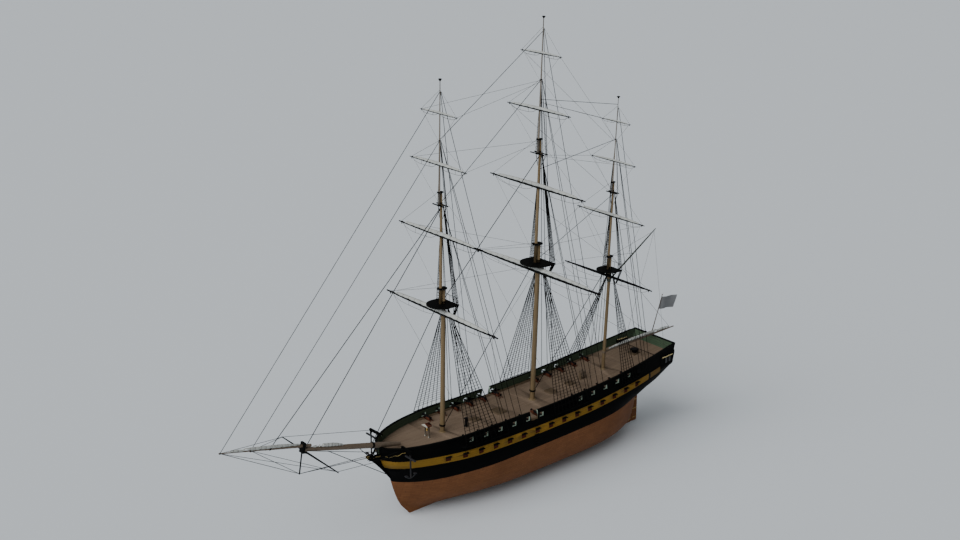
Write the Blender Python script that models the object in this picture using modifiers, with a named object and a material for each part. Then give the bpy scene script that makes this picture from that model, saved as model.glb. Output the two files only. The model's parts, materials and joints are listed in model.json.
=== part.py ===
"""A three-masted sailing frigate, modelled at one tenth of its full size.

Metres, +X towards the bow, +Y to port, +Z up. The origin is amidships on the
centreline, at the height of the water that the ship floats in.
"""

import math

import bmesh
import bpy
from mathutils import Matrix, Vector

# Driving dimensions of the hull
GAP = 0.0003
STATIONS = 34
KEEL_HALF = 0.018
KEEL_BOTTOM = -0.636
KEEL_RISE = 0.048
KEEL_LENGTH = 4.98
DECK_BELOW_RAIL = 0.145
BULWARK = 0.028

# Sheer lines, one row each:
# x, top of the copper, bottom and top of the gun band, rail
SHEER_LINES = (
    (-2.9, 0.142, 0.501, 0.5965, 0.8634),
    (-2.2, 0.130, 0.423, 0.536, 0.7790),
    (-1.5, 0.112, 0.362, 0.487, 0.7138),
    (-0.8, 0.088, 0.308, 0.432, 0.6692),
    (0.0, 0.065, 0.282, 0.416, 0.6480),
    (0.8, 0.053, 0.276, 0.413, 0.6496),
    (1.6, 0.041, 0.299, 0.431, 0.6544),
    (2.2, 0.006, 0.311, 0.449, 0.6560),
    (2.8, -0.004, 0.276, 0.428, 0.6430),
)

# Hull form by height, one row each:
# height, stem x, stern x, half-breadth amidships, half-breadth at the stern,
# length of entry, power of entry, length of run, power of run
HULL_FORM = (
    (-0.640, 2.330, -2.485, 0.018, 0.018, 2.30, 1.60, 2.00, 1.50),
    (-0.616, 2.345, -2.486, 0.150, 0.018, 2.30, 1.60, 1.80, 1.30),
    (-0.590, 2.365, -2.488, 0.310, 0.018, 2.30, 1.30, 1.70, 1.10),
    (-0.500, 2.450, -2.492, 0.470, 0.018, 2.10, 1.05, 1.50, 0.85),
    (-0.380, 2.520, -2.498, 0.560, 0.018, 1.95, 0.92, 1.50, 0.80),
    (-0.250, 2.572, -2.504, 0.615, 0.018, 1.85, 0.84, 1.50, 0.76),
    (-0.100, 2.622, -2.512, 0.648, 0.018, 1.80, 0.76, 1.50, 0.72),
    (0.060, 2.665, -2.520, 0.662, 0.022, 1.70, 0.70, 1.50, 0.72),
    (0.130, 2.700, -2.600, 0.665, 0.110, 1.65, 0.67, 1.60, 0.84),
    (0.200, 2.740, -2.690, 0.665, 0.240, 1.60, 0.64, 1.70, 0.82),
    (0.320, 2.805, -2.790, 0.655, 0.370, 1.55, 0.60, 1.70, 0.80),
    (0.460, 2.860, -2.880, 0.632, 0.455, 1.50, 0.55, 1.70, 0.85),
    (0.520, 2.870, -2.955, 0.618, 0.470, 1.50, 0.53, 1.75, 0.90),
    (0.650, 2.865, -2.975, 0.583, 0.478, 1.45, 0.50, 1.80, 1.00),
    (0.900, 2.850, -3.052, 0.575, 0.468, 1.45, 0.50, 1.80, 1.00),
)

# Ports
GUN_PORTS = 15
GUN_PORT_FIRST = 2.0
GUN_PORT_PITCH = 0.285
GUN_PORT_SIZE = (0.085, 0.075)
GUN_PORT_DEPTH = 0.03
DECK_PORT_FIRST = 1.585
DECK_PORT_PITCH = 0.2825
DECK_PORT_NUMBERS = (0, 1, 2, 3, 4, 5, 8, 9, 10, 11, 12)
DECK_PORT_SIZE = (0.085, 0.066)
DECK_PORT_SILL = 0.028
GANGWAY_X = 0.315
GANGWAY_WIDTH = 0.158
CATHEAD = ((2.62, 0.25, 0.648), (2.65, 0.515, 0.664))

# Masts, one row each: name, x at the deck, rake in degrees, heights of deck, top, cap,
# crosstrees, topmast cap and truck, radius of the lower mast, half-width of the top
MASTS = (
    ("fore", 1.668, 1.2, 0.500, 2.592, 2.840, 4.104, 4.303, 5.930, 0.038, 0.216),
    ("main", -0.180, 2.1, 0.500, 2.827, 3.137, 4.558, 4.785, 6.614, 0.042, 0.248),
    ("mizzen", -1.780, 2.8, 0.590, 2.353, 2.583, 3.651, 3.828, 5.204, 0.029, 0.184),
)
TOPMAST_SHARE = 0.62
TOPGALLANT_SHARE = 0.40
DOUBLING_GAP = 0.004
COAT = 0.022
TOP_THICK = 0.016

# Yards, one row each: mast, name, spar that carries it, height, half-length, radius,
# half-length of the furled sail, height of the furled sail
YARDS = (
    ("fore", "course", "lower", 2.448, 1.313, 0.026, 1.10, 0.052),
    ("fore", "topsail", "topmast", 3.655, 0.950, 0.020, 0.80, 0.044),
    ("fore", "topgallant", "topgallant", 4.707, 0.653, 0.013, 0.56, 0.032),
    ("fore", "royal", "topgallant", 5.446, 0.424, 0.009, 0.36, 0.022),
    ("main", "course", "lower", 2.696, 1.452, 0.029, 1.22, 0.056),
    ("main", "topsail", "topmast", 4.042, 1.072, 0.022, 0.90, 0.048),
    ("main", "topgallant", "topgallant", 5.233, 0.704, 0.014, 0.60, 0.034),
    ("main", "royal", "topgallant", 6.071, 0.451, 0.010, 0.38, 0.023),
    ("mizzen", "crossjack", "lower", 2.246, 0.997, 0.022, 0.0, 0.0),
    ("mizzen", "topsail", "topmast", 3.268, 0.757, 0.016, 0.64, 0.036),
    ("mizzen", "topgallant", "topgallant", 4.171, 0.505, 0.010, 0.42, 0.022),
    ("mizzen", "royal", "topgallant", 4.807, 0.319, 0.007, 0.26, 0.016),
)
SAIL_NODES = ("course", "topsail")
PARREL_PLAY = 0.0005
PARREL_WALL = 0.007

# Bowsprit and what stands on it
BOWSPRIT_HEEL = (2.474, 0.564)
BOWSPRIT_CAP = (4.151, 1.010)
BOWSPRIT_RADIUS = 0.042
JIB_SEAT = (4.160, 1.068)
JIB_TIP = (5.467, 1.372)
JIB_RADIUS = 0.022
JIB_HEEL = 0.14
STRIKER_DEPTH = 0.371
SPRIT_YARD_HALF = 0.722

# Spanker gear
BOOM_HEIGHT = 0.897
BOOM_END = (-3.509, 0.926)
BOOM_RADIUS = 0.019
GAFF_THROAT = 2.150
GAFF_PEAK = (-2.935, 2.830)
GAFF_RADIUS = 0.014

# Ensign staff, rudder and deck gear
ENSIGN_FOOT = 0.8827
RUDDER_LOW = -0.596
RUDDER_HIGH = 0.035
RUDDER_CHORDS = (0.142, 0.122, 0.085)
RUDDER_RADIUS = 0.011
RUDDER_PLAY = 0.0008
WHEEL_X = -1.30
WHEEL_RADIUS = 0.078
WHEEL_HEIGHT = 0.092
CAPSTAN_X = -2.54
HATCHES = ((0.54, 0.19, 0.20), (1.03, 0.15, 0.13), (-0.59, 0.15, 0.16), (-1.02, 0.14, 0.14))
BELFRY_X = 1.96

# Gallery at the stern: its forward end, and rows of height and how far it stands out
GALLERY_START = -2.63
GALLERY_SECTION = ((0.515, 0.005), (0.545, 0.016), (0.735, 0.014), (0.770, 0.005))

COLOURS = {
    "copper": ((0.36, 0.15, 0.07), 0.55, 0.3),
    "black": ((0.012, 0.012, 0.014), 0.5, 0.0),
    "ochre": ((0.62, 0.36, 0.05), 0.55, 0.0),
    "deck": ((0.36, 0.25, 0.17), 0.7, 0.0),
    "red": ((0.30, 0.05, 0.04), 0.6, 0.0),
    "wood": ((0.42, 0.27, 0.15), 0.6, 0.0),
    "iron": ((0.03, 0.03, 0.035), 0.5, 0.6),
    "canvas": ((0.55, 0.55, 0.52), 0.9, 0.0),
    "rope": ((0.06, 0.055, 0.05), 0.9, 0.0),
    "flag": ((0.35, 0.35, 0.36), 0.9, 0.0),
}


def remove_all():
    """Empty the file before the ship is modelled."""
    for item in list(bpy.data.objects):
        bpy.data.objects.remove(item, do_unlink=True)


def make_collection(name):
    """Make one collection below the scene's own."""
    group = bpy.data.collections.new(name)
    bpy.context.scene.collection.children.link(group)
    return group


def make_material(name):
    """Return the material of that name, made from the colour table."""
    ready = bpy.data.materials.get(name)
    if ready:
        return ready
    colour, roughness, metallic = COLOURS[name]
    material = bpy.data.materials.new(name)
    material.use_nodes = True
    shader = material.node_tree.nodes["Principled BSDF"]
    shader.inputs["Base Color"].default_value = (*colour, 1.0)
    shader.inputs["Roughness"].default_value = roughness
    shader.inputs["Metallic"].default_value = metallic
    material.diffuse_color = (*colour, 1.0)
    return material


def add_object(name, mesh, material, parent=None):
    """Link a mesh as a piece of the ship."""
    item = bpy.data.objects.new(name, mesh)
    SHIP.objects.link(item)
    item.data.materials.clear()
    item.data.materials.append(make_material(material))
    item.parent = parent
    return item


def set_aside(item):
    """Turn a piece into a hidden operand of a Boolean."""
    for group in list(item.users_collection):
        group.objects.unlink(item)
    CUTTERS.objects.link(item)
    item.hide_render = True
    item.display_type = "WIRE"


def combine(target, item, operation):
    """Join a piece to a target, or cut it out of the target."""
    set_aside(item)
    if item.parent is None and target.parent is not None:
        item.parent = target.parent
    modifier = target.modifiers.new(item.name, "BOOLEAN")
    modifier.operation = operation
    modifier.solver = "EXACT"
    modifier.object = item


def fuse(target, *items):
    """Join pieces to a target as one body."""
    for item in items:
        combine(target, item, "UNION")


def cut(target, *items):
    """Cut pieces out of a target."""
    for item in items:
        combine(target, item, "DIFFERENCE")


def mesh_from(name, build):
    """Make a mesh with a function that fills a bmesh."""
    work = bmesh.new()
    build(work)
    bmesh.ops.recalc_face_normals(work, faces=work.faces)
    mesh = bpy.data.meshes.new(name)
    work.to_mesh(mesh)
    work.free()
    return mesh


def box(name, low, high, material="wood", parent=None):
    """A block between two corners."""
    size = [b - a for a, b in zip(low, high)]
    middle = [(a + b) / 2 for a, b in zip(low, high)]

    def build(work):
        place = Matrix.Translation(middle) @ Matrix.Diagonal((*size, 1.0))
        bmesh.ops.create_cube(work, size=1.0, matrix=place)

    return add_object(name, mesh_from(name, build), material, parent)


def beam(name, start, end, width, height, material="wood", parent=None):
    """A straight squared timber from one point to another."""
    start, end = Vector(start), Vector(end)
    turn = (end - start).to_track_quat("X", "Z").to_matrix().to_4x4()
    size = Matrix.Diagonal(((end - start).length, width, height, 1.0))

    def build(work):
        bmesh.ops.create_cube(work, size=1.0, matrix=Matrix.Translation((start + end) / 2) @ turn @ size)

    return add_object(name, mesh_from(name, build), material, parent)


def turned(name, profile, steps, material="wood", parent=None, closed=False, phase=0.0):
    """A turned piece: a profile of radius and height, from the top down, about local Z."""
    mesh = bpy.data.meshes.new(name)
    points = [(r * math.cos(phase), r * math.sin(phase), z) for r, z in profile]
    edges = [(i, i + 1) for i in range(len(points) - 1)]
    if closed:
        edges.append((len(points) - 1, 0))
    mesh.from_pydata(points, edges, [])
    item = add_object(name, mesh, material, parent)
    screw = item.modifiers.new("turn", "SCREW")
    screw.steps = steps
    screw.render_steps = steps
    screw.use_merge_vertices = True
    screw.merge_threshold = 0.00001
    return item


def spar(name, stations, steps, material="wood", parent=None):
    """A tapered round spar: pairs of height and radius from the bottom up, about local Z."""
    rising = [(radius, height) for height, radius in stations]
    profile = [(0.0, rising[-1][1])] + rising[::-1] + [(0.0, rising[0][1])]
    return turned(name, profile, steps, material, parent)


def collar(name, inner, wall, low, high, steps, material="iron", parent=None):
    """A ring that goes round a spar whose facets have the same number of sides."""
    inner = inner / math.cos(math.pi / steps)
    outer = inner + wall
    profile = [(inner, high), (outer, high), (outer, low), (inner, low)]
    return turned(name, profile, steps, material, parent, closed=True, phase=math.pi / steps)


def plate(name, outline, thickness, material="wood", parent=None):
    """A flat piece: an outline in local X and Y, centred on its thickness along local Z."""
    curve = bpy.data.curves.new(name, "CURVE")
    curve.dimensions = "2D"
    curve.fill_mode = "BOTH"
    curve.extrude = thickness / 2
    line = curve.splines.new("POLY")
    line.points.add(len(outline) - 1)
    for point, (x, y) in zip(line.points, outline):
        point.co = (x, y, 0.0, 1.0)
    line.use_cyclic_u = True
    return made_mesh(name, curve, material, parent)


def tube(name, points, radius, material="rope", parent=None, resolution=1):
    """A round bar through points."""
    curve = bpy.data.curves.new(name, "CURVE")
    curve.dimensions = "3D"
    curve.bevel_depth = radius
    curve.bevel_resolution = resolution
    curve.use_fill_caps = True
    line = curve.splines.new("POLY")
    line.points.add(len(points) - 1)
    for point, place in zip(line.points, points):
        point.co = (*place, 1.0)
    return made_mesh(name, curve, material, parent)


def made_mesh(name, curve, material, parent):
    """Turn a curve into a closed mesh, so that it can be cut and joined."""
    guide = bpy.data.objects.new(name + "_curve", curve)
    bpy.context.scene.collection.objects.link(guide)
    bpy.context.view_layer.update()
    graph = bpy.context.evaluated_depsgraph_get()
    mesh = bpy.data.meshes.new_from_object(guide.evaluated_get(graph))
    bpy.data.objects.remove(guide, do_unlink=True)
    work = bmesh.new()
    work.from_mesh(mesh)
    bmesh.ops.remove_doubles(work, verts=work.verts, dist=0.00001)
    bmesh.ops.recalc_face_normals(work, faces=work.faces)
    work.to_mesh(mesh)
    work.free()
    return add_object(name, mesh, material, parent)


def loft(name, rings, material, parent=None, ladder=False):
    """A closed body through rings of points; a ladder closes a symmetric ring rung by rung."""

    def build(work):
        rows = [[work.verts.new(point) for point in ring] for ring in rings]
        count = len(rings[0])
        for first, second in zip(rows, rows[1:]):
            for i in range(count):
                j = (i + 1) % count
                work.faces.new((first[i], first[j], second[j], second[i]))
        for row in (rows[0], rows[-1]):
            if not ladder:
                work.faces.new(row)
                continue
            for i in range(count // 2 - 1):
                work.faces.new((row[i], row[i + 1], row[count - 2 - i], row[count - 1 - i]))
        bmesh.ops.triangulate(work, faces=work.faces)

    return add_object(name, mesh_from(name, build), material, parent)


def copies(name, source, places, material):
    """Copies of one finished piece at several places, as one mesh."""
    bpy.context.view_layer.update()
    graph = bpy.context.evaluated_depsgraph_get()
    pattern = bpy.data.meshes.new_from_object(source.evaluated_get(graph))

    def build(work):
        for place in places:
            start = len(work.verts)
            work.from_mesh(pattern)
            work.verts.ensure_lookup_table()
            bmesh.ops.transform(work, matrix=place, verts=work.verts[start:])
            if place.is_negative:
                work.verts.ensure_lookup_table()
                moved = {f for v in work.verts[start:] for f in v.link_faces}
                bmesh.ops.reverse_faces(work, faces=list(moved))

    mesh = mesh_from(name, build)
    return add_object(name, mesh, material)


# Hull form

def form(height, column):
    """Read one column of the hull form at a height."""
    rows = HULL_FORM
    if height <= rows[0][0]:
        return rows[0][column]
    for low, high in zip(rows, rows[1:]):
        if height <= high[0]:
            share = (height - low[0]) / (high[0] - low[0])
            return low[column] + (high[column] - low[column]) * share
    return rows[-1][column]


def keel_lift(x):
    """How far the keel rises towards the stern."""
    return KEEL_RISE * (0.25 - x / KEEL_LENGTH)


def form_height(x, z):
    """Height in the hull form, with the keel's rise faded out at the waterline."""
    if z >= 0.0:
        return z
    return z - keel_lift(x) * min(1.0, z / KEEL_BOTTOM)


def stem_x(z):
    return form(z, 1)


def stern_x(z):
    return form(z, 2)


def half_breadth(x, z):
    """Half-breadth of the hull's outer surface."""
    h = form_height(x, z)
    middle, stern = form(h, 3), form(h, 4)
    entry = max(0.0, min(1.0, (form(h, 1) - x) / form(h, 5)))
    run = max(0.0, min(1.0, (x - form(h, 2)) / form(h, 7)))
    fore = (1 - (1 - entry) ** 2) ** form(h, 6)
    aft = (1 - (1 - run) ** 2) ** form(h, 8)
    return max(KEEL_HALF, (stern + (middle - stern) * aft) * fore)


def sheer(x, column):
    """Read one of the sheer lines at a place along the ship, as a smooth curve through its rows."""
    rows = SHEER_LINES
    first = max(0, min(len(rows) - 2, sum(row[0] <= x for row in rows) - 1))

    def slope(number):
        low, high = rows[max(0, number - 1)], rows[min(len(rows) - 1, number + 1)]
        return (high[column] - low[column]) / (high[0] - low[0])

    start, end = rows[first], rows[first + 1]
    length = end[0] - start[0]
    t = (x - start[0]) / length
    ease = t * t * (3 - 2 * t)
    lean = length * (slope(first) * t * (1 - t) ** 2 - slope(first + 1) * t * t * (1 - t))
    return start[column] + (end[column] - start[column]) * ease + lean


def copper_line(x):
    return sheer(x, 1)


def band_bottom(x):
    return sheer(x, 2)


def band_top(x):
    return sheer(x, 3)


def band_middle(x):
    return (band_bottom(x) + band_top(x)) / 2


def rail_line(x):
    return sheer(x, 4)


def deck_line(x):
    return rail_line(x) - DECK_BELOW_RAIL


def keel_line(x):
    """Underside of the keel, which turns up into the stem."""
    return KEEL_BOTTOM + keel_lift(x)


def hull_point(share, line, inset=0.0, short=0.0):
    """A point on the port side, by its share of the length from the bow and a height line."""
    x = 2.8 - 5.7 * share
    for _ in range(6):
        z = line(x)
        h = form_height(x, z)
        fore, aft = stem_x(h) - inset, stern_x(h) + short
        x = fore + (aft - fore) * share
    z = line(x)
    y = half_breadth(x, z)
    if inset:
        y = inset_breadth(x, z, inset)
    return Vector((x, y, z))


def inset_breadth(x, z, inset):
    """Half-breadth of a surface that lies inside the hull by the inset, or outside it."""
    best = None
    for k in range(-20, 21):
        px = x + k * abs(inset) / 16
        h = form_height(px, z)
        if px > stem_x(h):
            continue
        reach = inset * inset - (px - x) ** 2
        if reach < 0:
            continue
        step = math.sqrt(reach)
        y = half_breadth(px, z) + (-step if inset > 0 else step)
        if best is None or (y < best if inset > 0 else y > best):
            best = y
    return max(0.0002, best if best is not None else 0.0002)


def share_list(count):
    """Shares of the length, closer together towards both ends."""
    return [0.5 * (1 - math.cos(math.pi * i / count)) for i in range(count + 1)]


def lifted(line, amount):
    """A height line moved up or down."""
    return lambda x: line(x) + amount


def between(low, high, share):
    """A height line between two others."""
    return lambda x: low(x) + (high(x) - low(x)) * share


def layer(name, lines, material, inset=0.0, short=0.0):
    """One solid layer of the hull through height lines from the lowest to the highest."""
    rings = []
    for share in share_list(STATIONS):
        side = [hull_point(share, line, inset, short) for line in lines]
        mirrored = [Vector((p.x, -p.y, p.z)) for p in reversed(side)]
        rings.append(side + mirrored)
    return loft(name, rings, material, ladder=True)


def side_ribbon(lines, outer, inner, shares, short, side=1):
    """Rings of a wall along one side of the ship, through height lines, between two insets."""
    rings = []
    for share in shares:
        corners = [hull_point(share, line, outer, short) for line in lines]
        corners += [hull_point(share, line, inner, short) for line in reversed(lines)]
        rings.append([Vector((p.x, side * p.y, p.z)) for p in corners])
    return rings


def side_frame(x, z, side):
    """A frame on the hull's side, with local Y outwards and local X along the ship."""
    step = 0.02
    fore = Vector((x + step, half_breadth(x + step, z), z))
    aft = Vector((x - step, half_breadth(x - step, z), z))
    along = (fore - aft).normalized()
    along.y *= side
    up = Vector((0, 0, 1))
    out = up.cross(along)
    here = Vector((x, side * half_breadth(x, z), z))
    matrix = Matrix((along, out, up)).transposed().to_4x4()
    matrix.translation = here
    if side < 0:
        matrix = matrix @ Matrix.Scale(-1, 4, Vector((0, 1, 0)))
    return matrix


def gun_port_places():
    """Centres of the gun-deck ports along the ship."""
    return [GUN_PORT_FIRST - GUN_PORT_PITCH * k for k in range(GUN_PORTS)]


def deck_port_places():
    """Centres of the ports in the bulwark along the ship."""
    return [DECK_PORT_FIRST - DECK_PORT_PITCH * k for k in DECK_PORT_NUMBERS]


def build_hull():
    """The hull's layers, from the copper up to the spar deck."""
    fractions = (0.0, 0.036, 0.06, 0.13, 0.25, 0.42, 0.60, 0.78, 0.895, 1.0)
    layer("hull_bottom", [between(keel_line, copper_line, k) for k in fractions], "copper")
    base = lifted(copper_line, GAP)
    layer("hull_wale", [between(base, band_bottom, k) for k in (0.0, 0.18, 0.50, 0.75, 1.0)], "black")
    band = layer("gun_band", (lifted(band_bottom, GAP), band_middle, band_top), "ochre")
    add_gun_ports(band)
    inset = BULWARK + GAP
    deck = layer("spar_deck", (lifted(band_top, 2.5 * GAP), deck_line), "deck", inset, inset)
    add_deck_gear(deck)


def add_gun_ports(band):
    """Cut the gun-deck ports and stand their upper half lids out."""
    width, height = GUN_PORT_SIZE
    hole = box("port_hole", (-width / 2, -GUN_PORT_DEPTH, -height / 2), (width / 2, 0.03, height / 2))
    upper = box("port_upper_lid", (-width / 2 - 0.002, -0.018, height / 2 - 0.002), (width / 2 + 0.002, 0.042, height / 2 + 0.005))
    places = []
    for x in gun_port_places():
        for side in (1, -1):
            places.append(side_frame(x, band_middle(x) - 0.006, side))
    cut(band, copies("port_holes", hole, places, "black"))
    fuse(band, copies("port_upper_lids", upper, places, "red"))
    for item in (hole, upper):
        bpy.data.objects.remove(item, do_unlink=True)


def deck_block(name, x, y, half_x, half_y, height, sink=0.02):
    """A block that stands on the deck and is rooted in it."""
    floor = min(deck_line(x - half_x), deck_line(x + half_x)) - sink
    return box(name, (x - half_x, y - half_y, floor), (x + half_x, y + half_y, deck_line(x) + height))


def add_deck_gear(deck):
    """Hatch coamings, the mast coats and the bed of the capstan."""
    for number, (x, length, width) in enumerate(HATCHES):
        coaming = deck_block("coaming_%d" % number, x, 0.0, length / 2, width / 2, 0.024)
        well = box("well_%d" % number, (x - length / 2 + 0.012, -width / 2 + 0.012, deck_line(x) + 0.014),
                   (x + length / 2 - 0.012, width / 2 - 0.012, deck_line(x) + 0.1))
        cut(coaming, well)
        fuse(deck, coaming)
    fuse(deck, deck_block("capstan_bed", CAPSTAN_X, 0.0, 0.075, 0.075, 0.016, 0.04))
    for row in MASTS:
        radius = row[9]
        fuse(deck, spar("coat_" + row[0], ((-0.04, radius * 1.7), (COAT - 0.008, radius * 1.5), (COAT, radius * 1.1)),
                        20, "deck", mast_empty(row[0])))


def build_bulwarks():
    """Bulwarks, the transom and the gallery round the stern."""
    lines = (lifted(band_top, GAP), deck_line, rail_line)
    rings = side_ribbon(lines, 0.0, BULWARK, share_list(STATIONS), BULWARK + GAP, -1)
    wall = loft("bulwark_starboard", rings, "black")
    fit_bulwark(wall, -1)
    copies("bulwark_port", wall, [Matrix.Scale(-1, 4, Vector((0, 1, 0)))], "black")
    build_transom(lines)
    build_stern_gallery()


def bow_notch(name):
    """The round opening that lets the bowsprit through the bow."""
    heel, cap = Vector((BOWSPRIT_HEEL[0], 0, BOWSPRIT_HEEL[1])), Vector((BOWSPRIT_CAP[0], 0, BOWSPRIT_CAP[1]))
    middle = heel.lerp(cap, 0.2)
    turn = (cap - heel).to_track_quat("Z", "Y").to_matrix().to_4x4()
    radius = BOWSPRIT_RADIUS + 0.0006

    def build(work):
        place = Matrix.Translation(middle) @ turn
        bmesh.ops.create_cone(work, cap_ends=True, segments=24, radius1=radius, radius2=radius, depth=0.6,
                              matrix=place)

    return add_object(name, mesh_from(name, build), "black")


def port_cutters(name, side):
    """Cutters of the ports in one bulwark."""
    width, height = DECK_PORT_SIZE
    hole = box("deck_port_hole", (-width / 2, -0.09, 0.0), (width / 2, 0.05, height))
    places = [side_frame(x, deck_line(x) + DECK_PORT_SILL, side) for x in deck_port_places()]
    cutters = copies(name, hole, places, "black")
    bpy.data.objects.remove(hole, do_unlink=True)
    return cutters


def gangway_cutter(name, side):
    """Cutter of the gangway opening in one bulwark."""
    half = GANGWAY_WIDTH / 2
    span = sorted((side * 0.45, side * 0.75))
    return box(name, (GANGWAY_X - half, span[0], deck_line(GANGWAY_X) + 0.002),
               (GANGWAY_X + half, span[1], 0.8))


def fit_bulwark(wall, side):
    """Ports, gangway, channels, cathead and the bowsprit's notch of one bulwark."""
    cut(wall, port_cutters("ports_%d" % side, side))
    for number, (fore, aft) in enumerate(((1.80, 0.93), (0.02, -0.79), (-1.50, -2.02))):
        fuse(wall, channel("channel_%d_%d" % (number, side), fore, aft, side))
    cut(wall, gangway_cutter("gangway_%d" % side, side))
    root, tip = (Vector((x, side * y, z)) for x, y, z in CATHEAD)
    fuse(wall, beam("cathead_%d" % side, root, tip, 0.034, 0.034, "black"))
    x, y, z = CATHEAD[1]
    span = sorted((side * (y - 0.036), side * (y - 0.012)))
    fuse(wall, box("cat_block_%d" % side, (x - 0.012, span[0], z - 0.045), (x + 0.012, span[1], z), "black"))
    cut(wall, bow_notch("bow_notch_%d" % side))


def channel(name, fore, aft, side):
    """A plank that stands out from the side and spreads the shrouds."""
    count = 6
    rings = []
    for k in range(count + 1):
        x = fore + (aft - fore) * k / count
        z = deck_line(x) + 0.006
        inner, outer = half_breadth(x, z) - 0.012, half_breadth(x, z) + 0.085
        rings.append([Vector((x, side * y, z + dz)) for y, dz in
                      ((inner, 0.0), (outer, 0.0), (outer, 0.014), (inner, 0.014))])
    return loft(name, rings, "black")


def build_transom(lines):
    """The plank wall across the stern."""
    rings = []
    for side in (1, -1):
        corners = [hull_point(1.0, line) for line in lines]
        corners += [hull_point(1.0, line, 0.0, BULWARK) for line in reversed(lines)]
        rings.append([Vector((p.x, side * p.y, p.z)) for p in corners])
    loft("transom", rings, "black")


def build_stern_gallery():
    """Quarter galleries on both sides, joined by the gallery across the stern."""
    steps = 5
    rings = []
    for k in range(steps + 1):
        ring = [gallery_point(k / steps, z, bulge) for z, bulge in GALLERY_SECTION]
        ring += [gallery_point(k / steps, z, -0.02) for z in (GALLERY_SECTION[-1][0], GALLERY_SECTION[0][0])]
        rings.append(ring)
    mirrored = [[Vector((p.x, -p.y, p.z)) for p in ring] for ring in reversed(rings)]
    gallery = loft("stern_gallery", rings + mirrored, "black")
    lines = (lifted(band_bottom, -0.15), band_bottom, band_middle, band_top, deck_line, rail_line)
    cut(gallery, layer("gallery_skin", lines, "black", -0.0009, -0.0004))


def gallery_point(share, z, outset):
    """A point that stands off the quarter and the stern by an outset."""
    swell = outset * min(1.0, 0.25 + 2.0 * share) if outset > 0 else outset
    end = stern_x(z) - outset
    x = GALLERY_START + (end - GALLERY_START) * share
    return Vector((x, half_breadth(max(x, stern_x(z)), z) + swell, z))


def build_head():
    """The knee of the head, forward of the stem."""
    outline = [(2.664, 0.045)]
    outline += [(2.705, 0.10), (2.80, 0.225), (2.90, 0.345), (2.98, 0.43), (3.045, 0.478)]
    outline += [(3.085, 0.515), (3.080, 0.548), (3.045, 0.560), (3.010, 0.540), (2.95, 0.520)]
    stem = [(stem_x(z) + 0.0030, z) for z in (0.52, 0.46, 0.39, 0.32, 0.26, 0.20, 0.165, 0.13, 0.095, 0.06)]
    outline += stem
    knee = plate("stem_knee", outline, 0.030, "black")
    knee.rotation_euler = (math.pi / 2, 0, 0)


def build_guns():
    """Two rows of carronades, each carried by the waterway plank along its bulwark."""
    carriage = box("gun_slide", (-0.020, -0.175, 0.004), (0.020, -0.005, 0.020), "red")
    bed = box("gun_bed", (-0.026, -0.150, 0.016), (0.026, -0.060, 0.040), "red")
    barrel = spar("gun_barrel", ((-0.160, 0.010), (-0.150, 0.019), (0.012, 0.014)), 6, "iron")
    barrel.rotation_euler = (-math.pi / 2, 0, 0)
    barrel.location = (0, 0, 0.054)
    fuse(carriage, bed, barrel)
    for name, side in (("carronades_port", 1), ("carronades_starboard", -1)):
        inner = BULWARK + GAP
        rings = []
        for share in share_list(STATIONS):
            edge = hull_point(share, deck_line, inner, inner)
            if not -2.10 < edge.x < 1.85:
                continue
            rings.append([Vector((edge.x, side * (edge.y - dy), edge.z + dz)) for dy, dz in
                          ((0.004, GAP), (0.004, 0.009), (0.050, 0.009), (0.050, GAP))])
        plank = loft(name, rings, "red")
        places = []
        for x in deck_port_places():
            y = inset_breadth(x, deck_line(x), inner + 0.004)
            tilt = math.atan2(deck_line(x + 0.05) - deck_line(x - 0.05), 0.1)
            place = Matrix.Translation((x, side * y, deck_line(x) + 0.0015))
            if side < 0:
                place = place @ Matrix.Rotation(math.pi, 4, "Z")
            places.append(place @ Matrix.Rotation(-side * tilt, 4, "Y"))
        fuse(plank, copies(name + "_guns", carriage, places, "red"))
    for item in (carriage, bed, barrel):
        bpy.data.objects.remove(item, do_unlink=True)


def build_belfry():
    """The bell's shelter on its posts."""
    x = BELFRY_X
    floor = deck_line(x) + GAP
    roof = box("belfry", (x - 0.045, -0.065, floor + 0.185), (x + 0.045, 0.065, floor + 0.200), "wood")
    ridge = plate("belfry_ridge", ((-0.070, 0.0), (0.070, 0.0), (0.0, 0.032)), 0.090, "wood")
    ridge.rotation_euler = (math.pi / 2, 0, math.pi / 2)
    ridge.location = (x, 0.0, floor + 0.197)
    posts = [box("belfry_post_%d" % side, (x - 0.009, side * 0.045 - 0.009, floor),
                 (x + 0.009, side * 0.045 + 0.009, floor + 0.19)) for side in (1, -1)]
    bell = spar("belfry_bell", ((floor + 0.110, 0.022), (floor + 0.125, 0.015), (floor + 0.150, 0.012),
                                (floor + 0.158, 0.004), (floor + 0.190, 0.004)), 10)
    bell.location = (x, 0, 0)
    fuse(roof, ridge, *posts, bell)


def build_anchors():
    """A bower anchor under each cathead."""
    for name, side in (("anchor_port", 1), ("anchor_starboard", -1)):
        x, y, z = CATHEAD[1]
        hang = Vector((x, side * (y - 0.024), z - 0.045 - GAP))
        drop = 0.365
        shank = beam(name, (0, 0, 0.0), (0, 0, -drop), 0.014, 0.018, "iron")
        stock = beam(name + "_stock", (0, -0.12, -0.055), (0, 0.12, -0.055), 0.022, 0.020, "wood")
        arms = tube(name + "_arms", anchor_arc(0.105, -drop), 0.010, "iron", None, 1)
        palms = [box("%s_palm_%d" % (name, k), (k * 0.080 - 0.019, -0.023, -drop + 0.040),
                     (k * 0.080 + 0.019, 0.023, -drop + 0.052), "iron") for k in (1, -1)]
        shank.location = hang
        for item in (stock, arms, *palms):
            item.parent = shank
            combine(shank, item, "UNION")


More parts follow.
